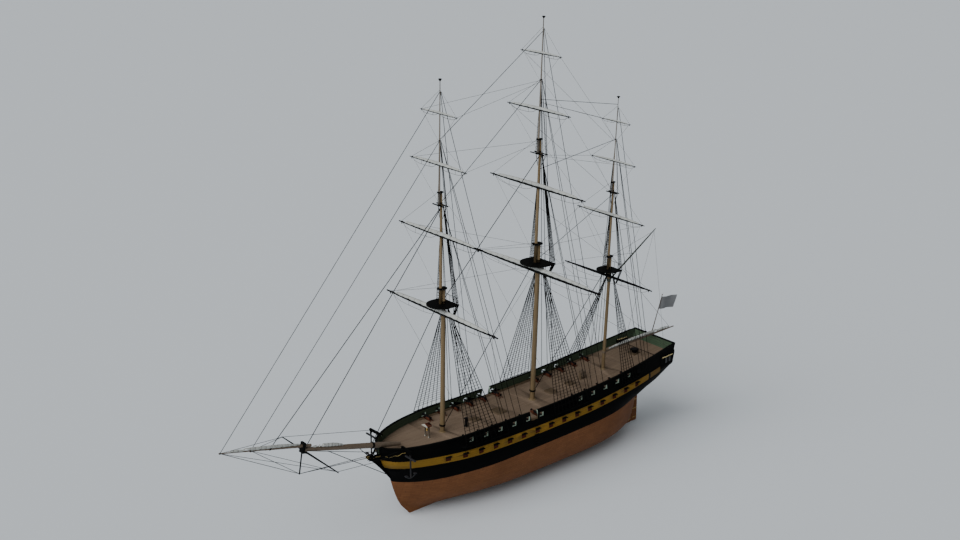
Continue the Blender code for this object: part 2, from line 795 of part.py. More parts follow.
def anchor_arc(radius, low):
    """Points along the arms of an anchor."""
    points = []
    for k in range(9):
        angle = math.radians(-90 + (k - 4) * 15)
        points.append((radius * math.cos(angle), 0.0, low + radius + radius * math.sin(angle)))
    return points


# Masts

def mast_row(name):
    return next(row for row in MASTS if row[0] == name)


def mast_empty(name):
    """The empty at a mast's foot, turned by its rake, that carries what is on the mast."""
    ready = bpy.data.objects.get("foot_" + name)
    if ready:
        return ready
    row = mast_row(name)
    foot = bpy.data.objects.new("foot_" + name, None)
    SHIP.objects.link(foot)
    foot.location = (row[1], 0.0, row[3])
    foot.rotation_euler = (0.0, -math.radians(row[2]), 0.0)
    bpy.context.view_layer.update()
    return foot


def along(name, height):
    """Distance up a mast from its foot, for a height above the water."""
    row = mast_row(name)
    return (height - row[3]) / math.cos(math.radians(row[2]))


def mast_sizes(name):
    """Radii and offsets of the three spars of one mast."""
    lower = mast_row(name)[9]
    topmast, topgallant = lower * TOPMAST_SHARE, lower * TOPGALLANT_SHARE
    step_one = lower * 0.72 + topmast + DOUBLING_GAP
    step_two = step_one + topmast * 0.70 + topgallant + DOUBLING_GAP
    return {"lower": (lower, 0.0), "topmast": (topmast, step_one), "topgallant": (topgallant, step_two)}


def mast_stations(name, kind):
    """Pairs of distance up the mast and radius, for one of its three spars."""
    row = mast_row(name)
    top, cap, trees, topcap, truck = (along(name, height) for height in row[4:9])
    r = mast_sizes(name)[kind][0]
    if kind == "lower":
        return ((COAT + GAP, r), (top - 0.10, r * 0.90), (top - TOP_THICK - 0.0006, r * 0.90),
                (top - TOP_THICK - 0.0003, r * 0.70), (cap - 0.03, r * 0.70))
    if kind == "topmast":
        return ((top + GAP, r), (trees - 0.05, r * 0.80), (trees, r * 0.70), (topcap - 0.02, r * 0.66))
    return ((trees + 0.010 + GAP, r), (trees + 0.45, r * 0.92), (truck - 0.30, r * 0.50),
            (truck - 0.026, r * 0.42), (truck - 0.024, 0.016), (truck - 0.006, 0.016), (truck, 0.008))


def spar_radius(name, kind, height):
    """Radius of a mast's spar at a height."""
    place = along(name, height)
    stations = mast_stations(name, kind)
    for (low, a), (high, b) in zip(stations, stations[1:]):
        if place <= high:
            return a + (b - a) * max(0.0, (place - low) / (high - low))
    return stations[-1][1]


def build_mast(name):
    """Lower mast, top, topmast with its crosstrees and topgallant mast of one mast."""
    row = mast_row(name)
    foot = mast_empty(name)
    deck, top, cap, trees, topcap, truck = row[3:9]
    sizes = mast_sizes(name)
    lower, _ = sizes["lower"]
    topmast, step_one = sizes["topmast"]
    topgallant, step_two = sizes["topgallant"]
    steps = 20

    def up(height):
        return along(name, height)

    head = lower * 0.70
    spar(name + "_lower_mast", mast_stations(name, "lower"), steps, "wood", foot)
    build_top(name, foot, up(top), head, topmast, step_one, row[10])
    cap_low, cap_high = up(cap) - 0.03 + GAP, up(cap)
    long_cap = box(name + "_cap", (-lower * 1.05, -lower * 1.05, cap_low),
                   (step_one + topmast * 1.5, lower * 1.05, cap_high), "black", foot)
    mast = spar(name + "_topmast", mast_stations(name, "topmast"), 16, "wood", foot)
    mast.location = (step_one, 0, 0)
    long_cap.parent = foot
    fuse(mast, long_cap)
    trees_piece = crosstrees(name, foot, up(trees), row[10] * 0.62, step_one, step_two, topmast, topgallant)
    fuse(mast, trees_piece)
    upper = spar(name + "_topgallant_mast", mast_stations(name, "topgallant"), 12, "wood", foot)
    upper.location = (step_two, 0, 0)
    small_cap = box(name + "_topmast_cap", (step_one - topmast, -topmast, up(topcap) - 0.02 + GAP),
                    (step_two + topgallant * 1.6, topmast, up(topcap) + 0.002), "black", foot)
    fuse(upper, small_cap)


def build_top(name, foot, height, head, topmast, step, half_width):
    """The platform round the masthead: rounded in front and square behind."""
    outline = []
    for k in range(13):
        angle = math.radians(-90 + 15 * k)
        outline.append((0.055 + half_width * 0.98 * math.cos(angle), half_width * math.sin(angle)))
    outline += [(-half_width * 0.62, half_width * 0.96), (-half_width * 0.62, -half_width * 0.96)]
    top = plate(name + "_top", outline, TOP_THICK - GAP, "black", foot)
    top.location = (0, 0, height - TOP_THICK / 2)
    radius = (head + 0.0004) / math.cos(math.pi / 20)
    hole = turned(name + "_lubber", ((0, height + 0.02), (radius, height + 0.02), (radius, height - 0.04),
                                     (0, height - 0.04)), 20, "black", foot, phase=math.pi / 20)
    beams = []
    for side in (1, -1):
        y = side * (head + 0.014)
        beams.append(box("%s_trestle_%d" % (name, side), (-half_width * 0.55, y - 0.008, height - 0.034),
                         (step + topmast + 0.05, y + 0.008, height - TOP_THICK + 0.004), "black", foot))
    fuse(top, *beams)
    cut(top, hole)
    low = height - 0.06
    room = (mast_sizes(name)["lower"][0] * 0.90 + 0.0006) / math.cos(math.pi / 20)
    relief = turned(name + "_relief", ((0, height - TOP_THICK), (room, height - TOP_THICK), (room, low), (0, low)),
                    20, "black", foot, phase=math.pi / 20)
    cut(top, relief)


def crosstrees(name, foot, height, half, step_one, step_two, topmast, topgallant):
    """The thin timbers at the topmast head, with the plate that the upper mast stands on."""
    base = box(name + "_trees", (step_one - topmast * 1.2, -topmast, height - 0.012),
               (step_two + topgallant * 1.5, topmast, height + 0.010), "black", foot)
    for number, x in enumerate((step_one - topmast * 0.9, step_two + topgallant)):
        arm = box("%s_tree_%d" % (name, number), (x - 0.007, -half, height - 0.008), (x + 0.007, half, height + 0.006),
                  "black", foot)
        fuse(base, arm)
    return base


def build_yard(row):
    """One yard on its parrel, with its furled sail, turning about its mast."""
    mast, kind, carrier, height, half, radius, sail_half, sail_height = row
    foot = mast_empty(mast)
    steps = {"lower": 20, "topmast": 16, "topgallant": 12}[carrier]
    mast_radius = spar_radius(mast, carrier, height - 0.03)
    offset = mast_sizes(mast)[carrier][1]
    inner = mast_radius + PARREL_PLAY
    stand = inner / math.cos(math.pi / steps) + PARREL_WALL * 0.6 + radius
    name = "%s_%s_yard" % (mast, kind)
    sides = 10 if carrier == "lower" else 8
    yard = turned(name, yard_profile(half, radius), sides, "black", foot)
    yard.rotation_euler = (math.pi / 2, 0, 0)
    yard.location = (offset, 0, along(mast, height))
    shift_profile(yard, stand)
    tall = max(radius * 1.1, 0.010)
    ring = collar(name + "_parrel", inner, PARREL_WALL, -tall, tall, steps, "black", foot)
    ring.location = yard.location
    fuse(yard, ring)
    if not sail_half:
        return
    rings = []
    count = 8
    for k in range(count + 1):
        y = -sail_half + 2 * sail_half * k / count
        share = abs(y) / sail_half
        seat = yard_radius(abs(y), half, radius) * (math.cos(math.pi / sides) if sides == 10 else 1.0)
        tall = sail_height * (1.0 - 0.45 * share ** 1.6) if k not in (0, count) else sail_height * 0.35
        wide = 0.42 * tall + 0.25 * seat
        sink = -0.002 if kind not in SAIL_NODES else GAP
        rings.append([Vector((stand + dx * wide, y, seat + sink + dz * tall)) for dx, dz in
                      ((0.55, 0.0), (1.0, 0.45), (0.55, 1.0), (-0.55, 1.0), (-1.0, 0.45), (-0.55, 0.0))])
    sail = loft("%s_%s_furled" % (mast, kind), rings, "canvas", foot)
    sail.location = yard.location
    if kind not in SAIL_NODES:
        fuse(yard, sail)


def yard_radius(distance, half, radius):
    """Radius of a yard at a distance from its middle."""
    share = min(1.0, distance / half)
    return radius * (1.0 - 0.58 * share ** 2.2)


def yard_profile(half, radius):
    """Profile of a yard from one tip to the other."""
    shares = (1.0, 0.8, 0.5, 0.0, -0.5, -0.8, -1.0)
    middle = [(yard_radius(abs(s) * half, half, radius), s * half) for s in shares]
    return [(0.0, half)] + middle + [(0.0, -half)]


def shift_profile(item, distance):
    """Move a turned piece off its object's origin, across its own axis."""
    guide = bpy.data.objects.new(item.name + "_axis", None)
    SHIP.objects.link(guide)
    guide.parent = item
    guide.location = (distance, 0, 0)
    item.modifiers["turn"].object = guide
    for vertex in item.data.vertices:
        vertex.co.x += distance


def build_bowsprit():
    """Bowsprit, jib-boom, cap with the striker and spritsail yard, and furled head sails."""
    heel, cap, seat, tip = (Vector((x, 0, z)) for x, z in (BOWSPRIT_HEEL, BOWSPRIT_CAP, JIB_SEAT, JIB_TIP))
    foot = spar_empty("foot_bowsprit", heel, cap)
    length = (cap - heel).length
    r = BOWSPRIT_RADIUS
    stations = ((0.0, r * 0.66), (0.25, r * 0.9), (0.4, r), (0.9, r * 0.96), (length - 0.03, r * 0.72), (length, r * 0.70))
    spar("bowsprit", stations, 20, "wood", foot)
    boom_foot = spar_empty("foot_jib_boom", seat, tip)
    reach = (tip - seat).length
    r = JIB_RADIUS
    boom_stations = ((-JIB_HEEL, r), (0.04, r), (0.62, r * 0.72), (0.64, r * 0.62), (reach, r * 0.30))
    spar("jib_boom", boom_stations, 12, "wood", boom_foot)
    cap_block = box("bowsprit_cap", (-0.108, -0.048, length + GAP), (0.046, 0.048, length + 0.034),
                    "black", foot)
    radius = (r + 0.0004) / math.cos(math.pi / 12)
    hole = turned("cap_hole", ((0, 0.3), (radius, 0.3), (radius, -0.3), (0, -0.3)), 12, "black", boom_foot,
                  phase=math.pi / 12)
    striker = beam("striker", (0.02, 0, length + 0.018), (STRIKER_DEPTH, 0, length - 0.013), 0.015, 0.015,
                   "black", foot)
    sling = beam("sling", (0.038, 0, length + 0.018), (0.078, 0, length - 0.12), 0.012, 0.012, "black", foot)
    yard = spar("sprit_yard", ((-SPRIT_YARD_HALF, 0.008), (0.0, 0.015), (SPRIT_YARD_HALF, 0.008)), 8,
                "black", foot)
    yard.rotation_euler = (math.pi / 2, 0, 0)
    yard.location = (0.078, 0, length - 0.12)
    fuse(cap_block, striker, sling, yard)
    cut(cap_block, hole)
    head_sail("fore_staysail_furled", foot, stations, length - 0.66, length - 0.15, 0.026)
    head_sail("jib_furled", boom_foot, boom_stations, 0.06, reach - 0.16, 0.023)


def spar_empty(name, start, end):
    """An empty at a spar's inner end, with local Z along the spar and local -X upwards."""
    empty = bpy.data.objects.new(name, None)
    SHIP.objects.link(empty)
    empty.location = start
    empty.rotation_euler = (0, math.pi / 2 - math.atan2(end.z - start.z, end.x - start.x), 0)
    return empty


def station_radius(stations, place):
    """Radius of a spar at a distance along it."""
    for (low, a), (high, b) in zip(stations, stations[1:]):
        if place <= high:
            return a + (b - a) * max(0.0, (place - low) / (high - low))
    return stations[-1][1]


def head_sail(name, foot, stations, low, high, radius):
    """A furled head sail, rolled up along the top of its spar."""
    count = 10
    rings = []
    for k in range(count + 1):
        place = low + (high - low) * k / count
        share = abs(2.0 * k / count - 1.0)
        roll = radius * (1.0 - 0.55 * share ** 3)
        distance = station_radius(stations, place) + 0.0005 + roll * 0.94
        middle = Vector((-0.95 * distance, 0.312 * distance, place))
        rings.append([middle + Vector((roll * math.cos(a), roll * math.sin(a), 0))
                      for a in (math.pi * q / 4 for q in range(8))])
    return loft(name, rings, "canvas", foot)


def build_spanker():
    """Boom and gaff behind the mizzen mast, with the furled spanker on the boom."""
    foot = mast_empty("mizzen")
    for name, height, end, radius in (("spanker_boom", BOOM_HEIGHT, BOOM_END, BOOM_RADIUS),
                                      ("gaff", GAFF_THROAT, GAFF_PEAK, GAFF_RADIUS)):
        mast_radius = spar_radius("mizzen", "lower", height - 0.03)
        inner = mast_radius + PARREL_PLAY
        pivot = bpy.data.objects.new("pivot_" + name, None)
        SHIP.objects.link(pivot)
        pivot.parent = foot
        pivot.location = (0, 0, along("mizzen", height))
        ring = collar(name, inner, PARREL_WALL, -0.016, 0.016 if name != "gaff" else 0.036, 20, "wood", pivot)
        local_end = (foot.matrix_world.inverted() @ Vector((end[0], 0, end[1]))) - pivot.location
        reach = local_end.length
        turn = local_end.to_track_quat("Z", "Y").to_euler()
        lift = abs(local_end.z) / reach
        near = (inner + 0.003 + radius * lift) / math.sqrt(1.0 - lift * lift)
        stick = spar(name + "_spar", ((near, radius * 0.85), (reach * 0.35, radius), (reach * 0.8, radius * 0.8),
                                      (reach, radius * 0.5)), 12, "wood", pivot)
        stick.rotation_euler = turn
        fuse(ring, stick)
        if name == "spanker_boom":
            furled = spanker_sail(pivot, turn, reach)
            furled.parent = pivot


def spanker_sail(pivot, turn, reach):
    """The spanker, lashed along the top of its boom."""
    count = 14
    low, high = 0.12, reach - 0.12
    rings = []
    upright = turn.to_matrix().inverted() @ Vector((0, 0, 1))
    across = Vector((0, 1, 0))
    for k in range(count + 1):
        z = low + (high - low) * k / count
        share = abs(2.0 * k / count - 1.0)
        tall = 0.052 * (1.0 - 0.6 * share ** 3)
        wide = 0.5 * tall
        seat = BOOM_RADIUS + GAP
        centre = Vector((0, 0, z))
        flat = upright - Vector((0, 0, upright.z))
        flat.normalize()
        across = flat.cross(Vector((0, 0, 1)))
        rings.append([centre + flat * (seat + dz * tall) + across * (dy * wide) for dy, dz in
                      ((0.5, 0.0), (1.0, 0.35), (0.8, 0.8), (0.0, 1.0), (-0.8, 0.8), (-1.0, 0.35), (-0.5, 0.0))])
    sail = loft("spanker_furled", rings, "canvas", pivot)
    sail.rotation_euler = turn
    return sail


def build_stays():
    """The main stays of the three lower masts."""
    rows = (("fore", None, (2.83, 0.0, 0.0)), ("main", "fore", (0, 0, 0.62)), ("mizzen", "main", (0, 0, 0.66)))
    for name, ahead, end in rows:
        row = mast_row(name)
        foot = mast_empty(name)
        top = row[4]
        edge = foot.matrix_world @ Vector((0.135, 0, along(name, top) - 0.036))
        if ahead:
            carrier = mast_empty(ahead)
            radius = spar_radius(ahead, "lower", end[2] - 0.05) + 0.0004
            target = carrier.matrix_world @ Vector((0, 0, along(ahead, end[2])))
            ring = collar(name + "_stay", radius, 0.008, -0.012, 0.012, 20, "rope", carrier)
            ring.location = (0, 0, along(ahead, end[2]))
            finish = target + Vector((-radius - 0.005, 0, 0))
        else:
            carrier = bpy.data.objects["foot_bowsprit"]
            bpy.context.view_layer.update()
            station = 0.52
            ring = collar(name + "_stay", BOWSPRIT_RADIUS + 0.0004, 0.008, station - 0.015, station + 0.015, 20,
                          "rope", carrier)
            finish = carrier.matrix_world @ Vector((-BOWSPRIT_RADIUS - 0.006, 0, station))
        rope = tube(name + "_stay_rope", (edge, finish), 0.0055, "rope", None, 1)
        join_in_place(ring, rope)


def join_in_place(target, item):
    """Join a piece that already lies in the ship's frame to a target that lies on a spar."""
    set_aside(item)
    modifier = target.modifiers.new(item.name, "BOOLEAN")
    modifier.operation = "UNION"
    modifier.object = item


def build_rudder():
    """The rudder on its raked axis behind the sternpost."""
    r = RUDDER_RADIUS
    axis = [Vector((post_face(z) - r - RUDDER_PLAY, 0, z)) for z in (RUDDER_LOW, RUDDER_HIGH)]
    foot = bpy.data.objects.new("foot_rudder", None)
    SHIP.objects.link(foot)
    foot.location = axis[0]
    foot.rotation_euler = (0, math.atan2(axis[1].x - axis[0].x, axis[1].z - axis[0].z), 0)
    height = (axis[1] - axis[0]).length
    low, middle, high = RUDDER_CHORDS
    blade = plate("rudder", ((0.0, 0.0), (0.0, height), (-high, height), (-middle, height * 0.70), (-low, 0.02),
                             (-low + 0.012, 0.0)), 1.9 * r, "copper", foot)
    blade.rotation_euler = (math.pi / 2, 0, 0)
    stock = spar("rudder_stock", ((0.0, r), (height, r)), 16, "copper", foot)
    fuse(blade, stock)


def post_face(z):
    """The after face of the sternpost."""
    return stern_x(form_height(-2.5, z))


def build_wheel_stand():
    """The sill on the deck and the two posts that carry the helm wheel."""
    ends = [Vector((WHEEL_X + dx, 0, deck_line(WHEEL_X + dx) + 0.0038)) for dx in (-0.066, 0.066)]
    sill = beam("wheel_stand", ends[0], ends[1], 0.050, 0.006)
    for side in (1, -1):
        x = WHEEL_X + side * 0.05
        fuse(sill, box("wheel_post_%d" % side, (x - 0.010, -0.016, deck_line(x) + 0.004),
                       (x + 0.010, 0.016, deck_line(WHEEL_X) + WHEEL_HEIGHT + 0.015)))


def build_wheel():
    """The double helm wheel between its two posts."""
    z = deck_line(WHEEL_X) + WHEEL_HEIGHT
    axle = spar("helm_wheel", ((-0.0392, 0.009), (0.0392, 0.009)), 12, "wood")
    axle.rotation_euler = (0, math.pi / 2, 0)
    axle.location = (WHEEL_X, 0, z)
    for side in (1, -1):
        rim = turned("wheel_rim_%d" % side, ((0.050, side * 0.024 + 0.004), (0.058, side * 0.024 + 0.004),
                                             (0.058, side * 0.024 - 0.004), (0.050, side * 0.024 - 0.004)), 12,
                     "wood", axle, closed=True)
        combine(axle, rim, "UNION")
        for k in range(4):
            angle = math.pi * k / 4
            way = Vector((math.cos(angle), math.sin(angle), 0)) * WHEEL_RADIUS
            here = Vector((0, 0, side * 0.024))
            spoke = beam("wheel_spoke_%d_%d" % (side, k), here - way, here + way, 0.005, 0.005, "wood", axle)
            combine(axle, spoke, "UNION")


def build_capstan():
    """The capstan, with its whelps and drumhead."""
    z = deck_line(CAPSTAN_X) + 0.016 + GAP
    drum = spar("capstan", ((0.0, 0.040), (0.008, 0.046), (0.014, 0.034), (0.036, 0.030), (0.042, 0.038),
                            (0.044, 0.072), (0.062, 0.072), (0.067, 0.060)), 16, "black")
    drum.location = (CAPSTAN_X, 0, z)
    for k in range(6):
        angle = math.pi * k / 3
        way = Vector((math.cos(angle), math.sin(angle), 0))
        whelp = beam("whelp_%d" % k, way * 0.020 + Vector((0, 0, 0.025)), way * 0.044 + Vector((0, 0, 0.025)),
                     0.012, 0.042, "black", drum)
        combine(drum, whelp, "UNION")


def build_ensign():
    """The staff at the taffrail and the ensign that hangs from it."""
    base = Vector((-3.030, -0.075, ENSIGN_FOOT))
    tip = Vector((-3.270, -0.075, 1.560))
    turn = (tip - base).to_track_quat("Z", "Y").to_euler()
    length = (tip - base).length
    staff = spar("ensign_staff", ((0.0, 0.008), (length - 0.02, 0.005), (length - 0.018, 0.010), (length, 0.008)), 8,
                 "wood")
    staff.location = base
    staff.rotation_euler = turn
    columns = 10
    hoist_top, hoist_low = 0.930, 0.620
    way = (tip - base).normalized()
    rings = []
    for k in range(columns + 1):
        share = k / columns
        out = 0.0068 + share * 0.38
        sway = 0.016 * math.sin(share * math.pi * 2.2)
        ring = []
        for dy in (-0.002, 0.002):
            for part in ((hoist_low, hoist_top) if dy < 0 else (hoist_top, hoist_low)):
                point = base + way * (length * part) + Vector((-out, sway + dy, -0.05 * share))
                ring.append(point)
        rings.append(ring)
    loft("ensign", rings, "flag")


def main():
    """Model the whole ship."""
    build_hull()
    build_bulwarks()
    build_head()
    build_guns()
    build_belfry()
    build_anchors()
    for row in MASTS:
        build_mast(row[0])
    for row in YARDS:
        build_yard(row)
    build_bowsprit()
    build_spanker()
    build_stays()
    build_rudder()
    build_wheel_stand()
    build_wheel()
    build_capstan()
    build_ensign()
    bpy.context.view_layer.update()


remove_all()
SHIP = make_collection("sailing_frigate_model")
CUTTERS = make_collection("cutters")
main()
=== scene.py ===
"""Paint, rigging, sails and fittings of a three-masted frigate, a model at one tenth of its size.

Metres, +X towards the bow, +Y to port, +Z up. The origin lies amidships at the height of the water.
"""

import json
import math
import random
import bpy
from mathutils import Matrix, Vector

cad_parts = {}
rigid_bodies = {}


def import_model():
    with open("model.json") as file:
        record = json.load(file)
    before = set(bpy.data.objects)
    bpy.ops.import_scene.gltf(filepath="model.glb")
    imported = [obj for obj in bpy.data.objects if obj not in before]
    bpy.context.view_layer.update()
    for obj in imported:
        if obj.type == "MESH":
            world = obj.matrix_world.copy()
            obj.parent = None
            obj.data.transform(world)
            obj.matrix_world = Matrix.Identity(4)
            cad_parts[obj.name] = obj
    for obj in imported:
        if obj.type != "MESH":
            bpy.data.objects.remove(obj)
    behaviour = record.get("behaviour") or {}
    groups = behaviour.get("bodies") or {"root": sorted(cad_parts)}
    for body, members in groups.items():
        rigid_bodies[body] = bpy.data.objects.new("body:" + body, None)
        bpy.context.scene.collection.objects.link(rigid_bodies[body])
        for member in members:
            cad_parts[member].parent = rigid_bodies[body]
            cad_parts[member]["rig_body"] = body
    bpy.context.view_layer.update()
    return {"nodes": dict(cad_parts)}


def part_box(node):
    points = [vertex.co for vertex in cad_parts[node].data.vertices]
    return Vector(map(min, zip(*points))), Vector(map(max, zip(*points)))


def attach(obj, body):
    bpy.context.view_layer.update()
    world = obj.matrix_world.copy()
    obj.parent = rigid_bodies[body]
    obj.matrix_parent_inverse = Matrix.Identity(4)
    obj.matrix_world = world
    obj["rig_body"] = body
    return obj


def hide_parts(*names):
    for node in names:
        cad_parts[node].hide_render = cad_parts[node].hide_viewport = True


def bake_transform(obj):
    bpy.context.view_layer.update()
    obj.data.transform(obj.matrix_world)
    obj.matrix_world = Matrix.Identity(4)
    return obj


bl_info = {
    "name": "Sailing Frigate",
    "version": (1, 0, 0),
    "blender": (4, 5, 0),
    "location": "View3D > Sidebar > Frigate",
    "description": "Paints, rigs and fits out a model of a three-masted sailing frigate",
    "category": "Object",
}

from collections import namedtuple
from contextlib import contextmanager

import bpy
from bpy.props import FloatProperty, FloatVectorProperty, IntProperty, PointerProperty
from mathutils import Matrix, Vector
from mathutils.bvhtree import BVHTree

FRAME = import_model()

# x; top of the copper, bottom and top of the gun band, rail
SHEER_LINES = (
    (-2.9, 0.142, 0.501, 0.5965, 0.8634),
    (-2.2, 0.130, 0.423, 0.536, 0.7790),
    (-1.5, 0.112, 0.362, 0.487, 0.7138),
    (-0.8, 0.088, 0.308, 0.432, 0.6692),
    (0.0, 0.065, 0.282, 0.416, 0.6480),
    (0.8, 0.053, 0.276, 0.413, 0.6496),
    (1.6, 0.041, 0.299, 0.431, 0.6544),
    (2.2, 0.006, 0.311, 0.449, 0.6560),
    (2.8, -0.004, 0.276, 0.428, 0.6430),
)
BULWARK = 0.028
GUN_PORTS = [2.0 - 0.285 * k for k in range(15)]
DECK_PORTS = [1.585 - 0.2825 * k for k in (0, 1, 2, 3, 4, 5, 8, 9, 10, 11, 12)]
GANGWAY = (0.236, 0.394)
BAND_END = -2.31
# Ends of the quarter panel, whose ochre is darkened as painted shade
QUARTER_PANEL = (-2.36, -2.63)
TOP_LIP = 0.018
SIDES = ((1, "port"), (-1, "starboard"))
GREY = (0.5, 0.5, 0.5, 1.0)
TURN_TO_X = Matrix.Rotation(math.pi / 2, 4, "Y")
TURN_TO_Y = Matrix.Rotation(math.pi / 2, 4, "X")

# Hatches: place along the ship, length, width
HATCHES = ((0.54, 0.19, 0.20), (1.03, 0.15, 0.13), (-0.59, 0.15, 0.16), (-1.02, 0.14, 0.14))

# Place at the deck, rake in degrees, heights of deck, top, cap, crosstrees, topmast cap and truck,
# radius of the lower mast, half-width of the top, height of the topgallant stay
Mast = namedtuple("Mast", "x rake foot top cap trees top_cap truck radius half stay")
MASTS = {
    "fore": Mast(1.668, 1.2, 0.500, 2.592, 2.840, 4.104, 4.303, 5.930, 0.038, 0.216, 5.050),
    "main": Mast(-0.180, 2.1, 0.500, 2.827, 3.137, 4.558, 4.785, 6.614, 0.042, 0.248, 5.681),
    "mizzen": Mast(-1.780, 2.8, 0.590, 2.353, 2.583, 3.651, 3.828, 5.204, 0.029, 0.184, 4.520),
}

# Height, half-length and radius of each yard, half-length and height of its sail
Yard = namedtuple("Yard", "height half radius sail_half sail_height")
YARDS = {
    ("fore", "course"): Yard(2.448, 1.313, 0.026, 1.10, 0.052),
    ("fore", "topsail"): Yard(3.655, 0.950, 0.020, 0.80, 0.044),
    ("fore", "topgallant"): Yard(4.707, 0.653, 0.013, 0.56, 0.032),
    ("fore", "royal"): Yard(5.446, 0.424, 0.009, 0.36, 0.022),
    ("main", "course"): Yard(2.696, 1.452, 0.029, 1.22, 0.056),
    ("main", "topsail"): Yard(4.042, 1.072, 0.022, 0.90, 0.048),
    ("main", "topgallant"): Yard(5.233, 0.704, 0.014, 0.60, 0.034),
    ("main", "royal"): Yard(6.071, 0.451, 0.010, 0.38, 0.023),
    ("mizzen", "crossjack"): Yard(2.246, 0.997, 0.022, 0.0, 0.0),
    ("mizzen", "topsail"): Yard(3.268, 0.757, 0.016, 0.64, 0.036),
    ("mizzen", "topgallant"): Yard(4.171, 0.505, 0.010, 0.42, 0.022),
    ("mizzen", "royal"): Yard(4.807, 0.319, 0.007, 0.26, 0.016),
}

# Shrouds of each mast: first and last foot along the ship, how many, feet of the backstays
SHROUD_FEET = {
    "fore": (1.73, 1.07, 8, (0.99, 0.93, 0.80, 0.68, 0.56)),
    "main": (-0.05, -0.70, 9, (-0.76, -0.82, -0.95, -1.08, -1.20)),
    "mizzen": (-1.57, -1.90, 6, (-2.07, -2.15, -2.23, -2.31)),
}

UPPER_SHROUDS = {"fore": 5, "main": 6, "mizzen": 4}

# Yard; mast and height that its braces lead to, or None for the hull
BRACES = {
    ("fore", "course"): ("main", 2.760),
    ("fore", "topsail"): ("main", 3.090),
    ("fore", "topgallant"): ("main", 4.740),
    ("fore", "royal"): ("main", 5.660),
    ("main", "course"): (None, 0.0),
    ("main", "topsail"): ("mizzen", 2.540),
    ("main", "topgallant"): ("mizzen", 3.620),
    ("main", "royal"): ("mizzen", 4.480),
    ("mizzen", "crossjack"): ("main", 2.700),
    ("mizzen", "topsail"): ("main", 3.070),
    ("mizzen", "topgallant"): ("main", 4.520),
    ("mizzen", "royal"): ("main", 5.340),
}


class HullColours(bpy.types.PropertyGroup):
    """Paints and finishes of the hull and spars."""

    copper: FloatVectorProperty(name="Copper", description="Weathered copper of the bottom", subtype="COLOR",
                                default=(0.172, 0.068, 0.026), min=0.0, max=1.0)
    black: FloatVectorProperty(name="Black", description="Black paint of wales, bulwarks and yards",
                               subtype="COLOR", default=(0.0016, 0.0018, 0.0018), min=0.0, max=1.0)
    ochre: FloatVectorProperty(name="Ochre", description="Paint of the gun band", subtype="COLOR",
                               default=(0.195, 0.110, 0.0155), min=0.0, max=1.0)
    green: FloatVectorProperty(name="Green", description="Paint inside the bulwarks", subtype="COLOR",
                               default=(0.056, 0.082, 0.052), min=0.0, max=1.0)
    deck: FloatVectorProperty(name="Deck", description="Scrubbed deck planks", subtype="COLOR",
                              default=(0.192, 0.139, 0.097), min=0.0, max=1.0)
    red: FloatVectorProperty(name="Red", description="Paint of carriages and port linings", subtype="COLOR",
                             default=(0.095, 0.030, 0.016), min=0.0, max=1.0)
    spar: FloatVectorProperty(name="Spars", description="Varnished wood of the masts", subtype="COLOR",
                              default=(0.195, 0.138, 0.072), min=0.0, max=1.0)
    canvas: FloatVectorProperty(name="Canvas", description="Sailcloth", subtype="COLOR",
                                default=(0.46, 0.475, 0.455), min=0.0, max=1.0)


class RigSizes(bpy.types.PropertyGroup):
    """Thicknesses and spacings of the rigging."""

    stay: FloatProperty(name="Stays", description="Diameter of the stays", unit="LENGTH", default=0.0110,
                        min=0.001, max=0.02)
    shroud: FloatProperty(name="Shrouds", description="Diameter of the shrouds", unit="LENGTH",
                          default=0.0105, min=0.001, max=0.02)
    ratline: FloatProperty(name="Ratlines", description="Diameter of the ratlines", unit="LENGTH",
                           default=0.0056, min=0.0005, max=0.01)
    running: FloatProperty(name="Running rigging", description="Diameter of braces and lifts", unit="LENGTH",
                           default=0.0050, min=0.0005, max=0.01)
    pitch: FloatProperty(name="Ratline spacing", description="Height from one ratline to the next",
                         unit="LENGTH", default=0.045, min=0.02, max=0.2)
    gaskets: IntProperty(name="Gaskets", description="Lashings on the largest sail", default=17, min=3,
                         max=40)


class StageSetup(bpy.types.PropertyGroup):
    """The floor, lights and camera."""

    floor: FloatProperty(name="Floor", description="Height of the floor, below the keel", unit="LENGTH",
                         default=-0.70, min=-5.0, max=0.0)
    key: FloatProperty(name="Key light", description="Strength of the sun", default=2.95, min=0.0, max=20.0)
    fill: FloatProperty(name="Fill light", description="Strength of the surroundings", default=0.21, min=0.0,
                        max=10.0)


# Reading the ship

def sheer(x, column):
    """Height of one of the sheer lines, a smooth curve through its rows."""
    rows = SHEER_LINES
    first = max(0, min(len(rows) - 2, sum(row[0] <= x for row in rows) - 1))

    def slope(number):
        low, high = rows[max(0, number - 1)], rows[min(len(rows) - 1, number + 1)]
        return (high[column] - low[column]) / (high[0] - low[0])

    start, end = rows[first], rows[first + 1]
    length = end[0] - start[0]
    t = (x - start[0]) / length
    ease = t * t * (3 - 2 * t)
    lean = length * (slope(first) * t * (1 - t) ** 2 - slope(first + 1) * t * t * (1 - t))
    return start[column] + (end[column] - start[column]) * ease + lean


def led(start, end, count=20):
    """Points along a straight rope."""
    return [start.lerp(end, k / count) for k in range(count + 1)]


def rail(x):
    return sheer(x, 4)


def deck(x):
    return sheer(x, 4) - 0.145


def solid_tree(*names):
    """A search tree over the surfaces of some solids."""
    points, faces = [], []
    for name in names:
        mesh = FRAME["nodes"][name].data
        start = len(points)
        points += [vertex.co.copy() for vertex in mesh.vertices]
        faces += [[start + i for i in face.vertices] for face in mesh.polygons]
    return BVHTree.FromPolygons(points, faces)


HULL_TREE = solid_tree("hull_bottom", "hull_wale", "gun_band", "bulwark_port", "transom", "stern_gallery")
DECK_TREE = solid_tree("spar_deck")


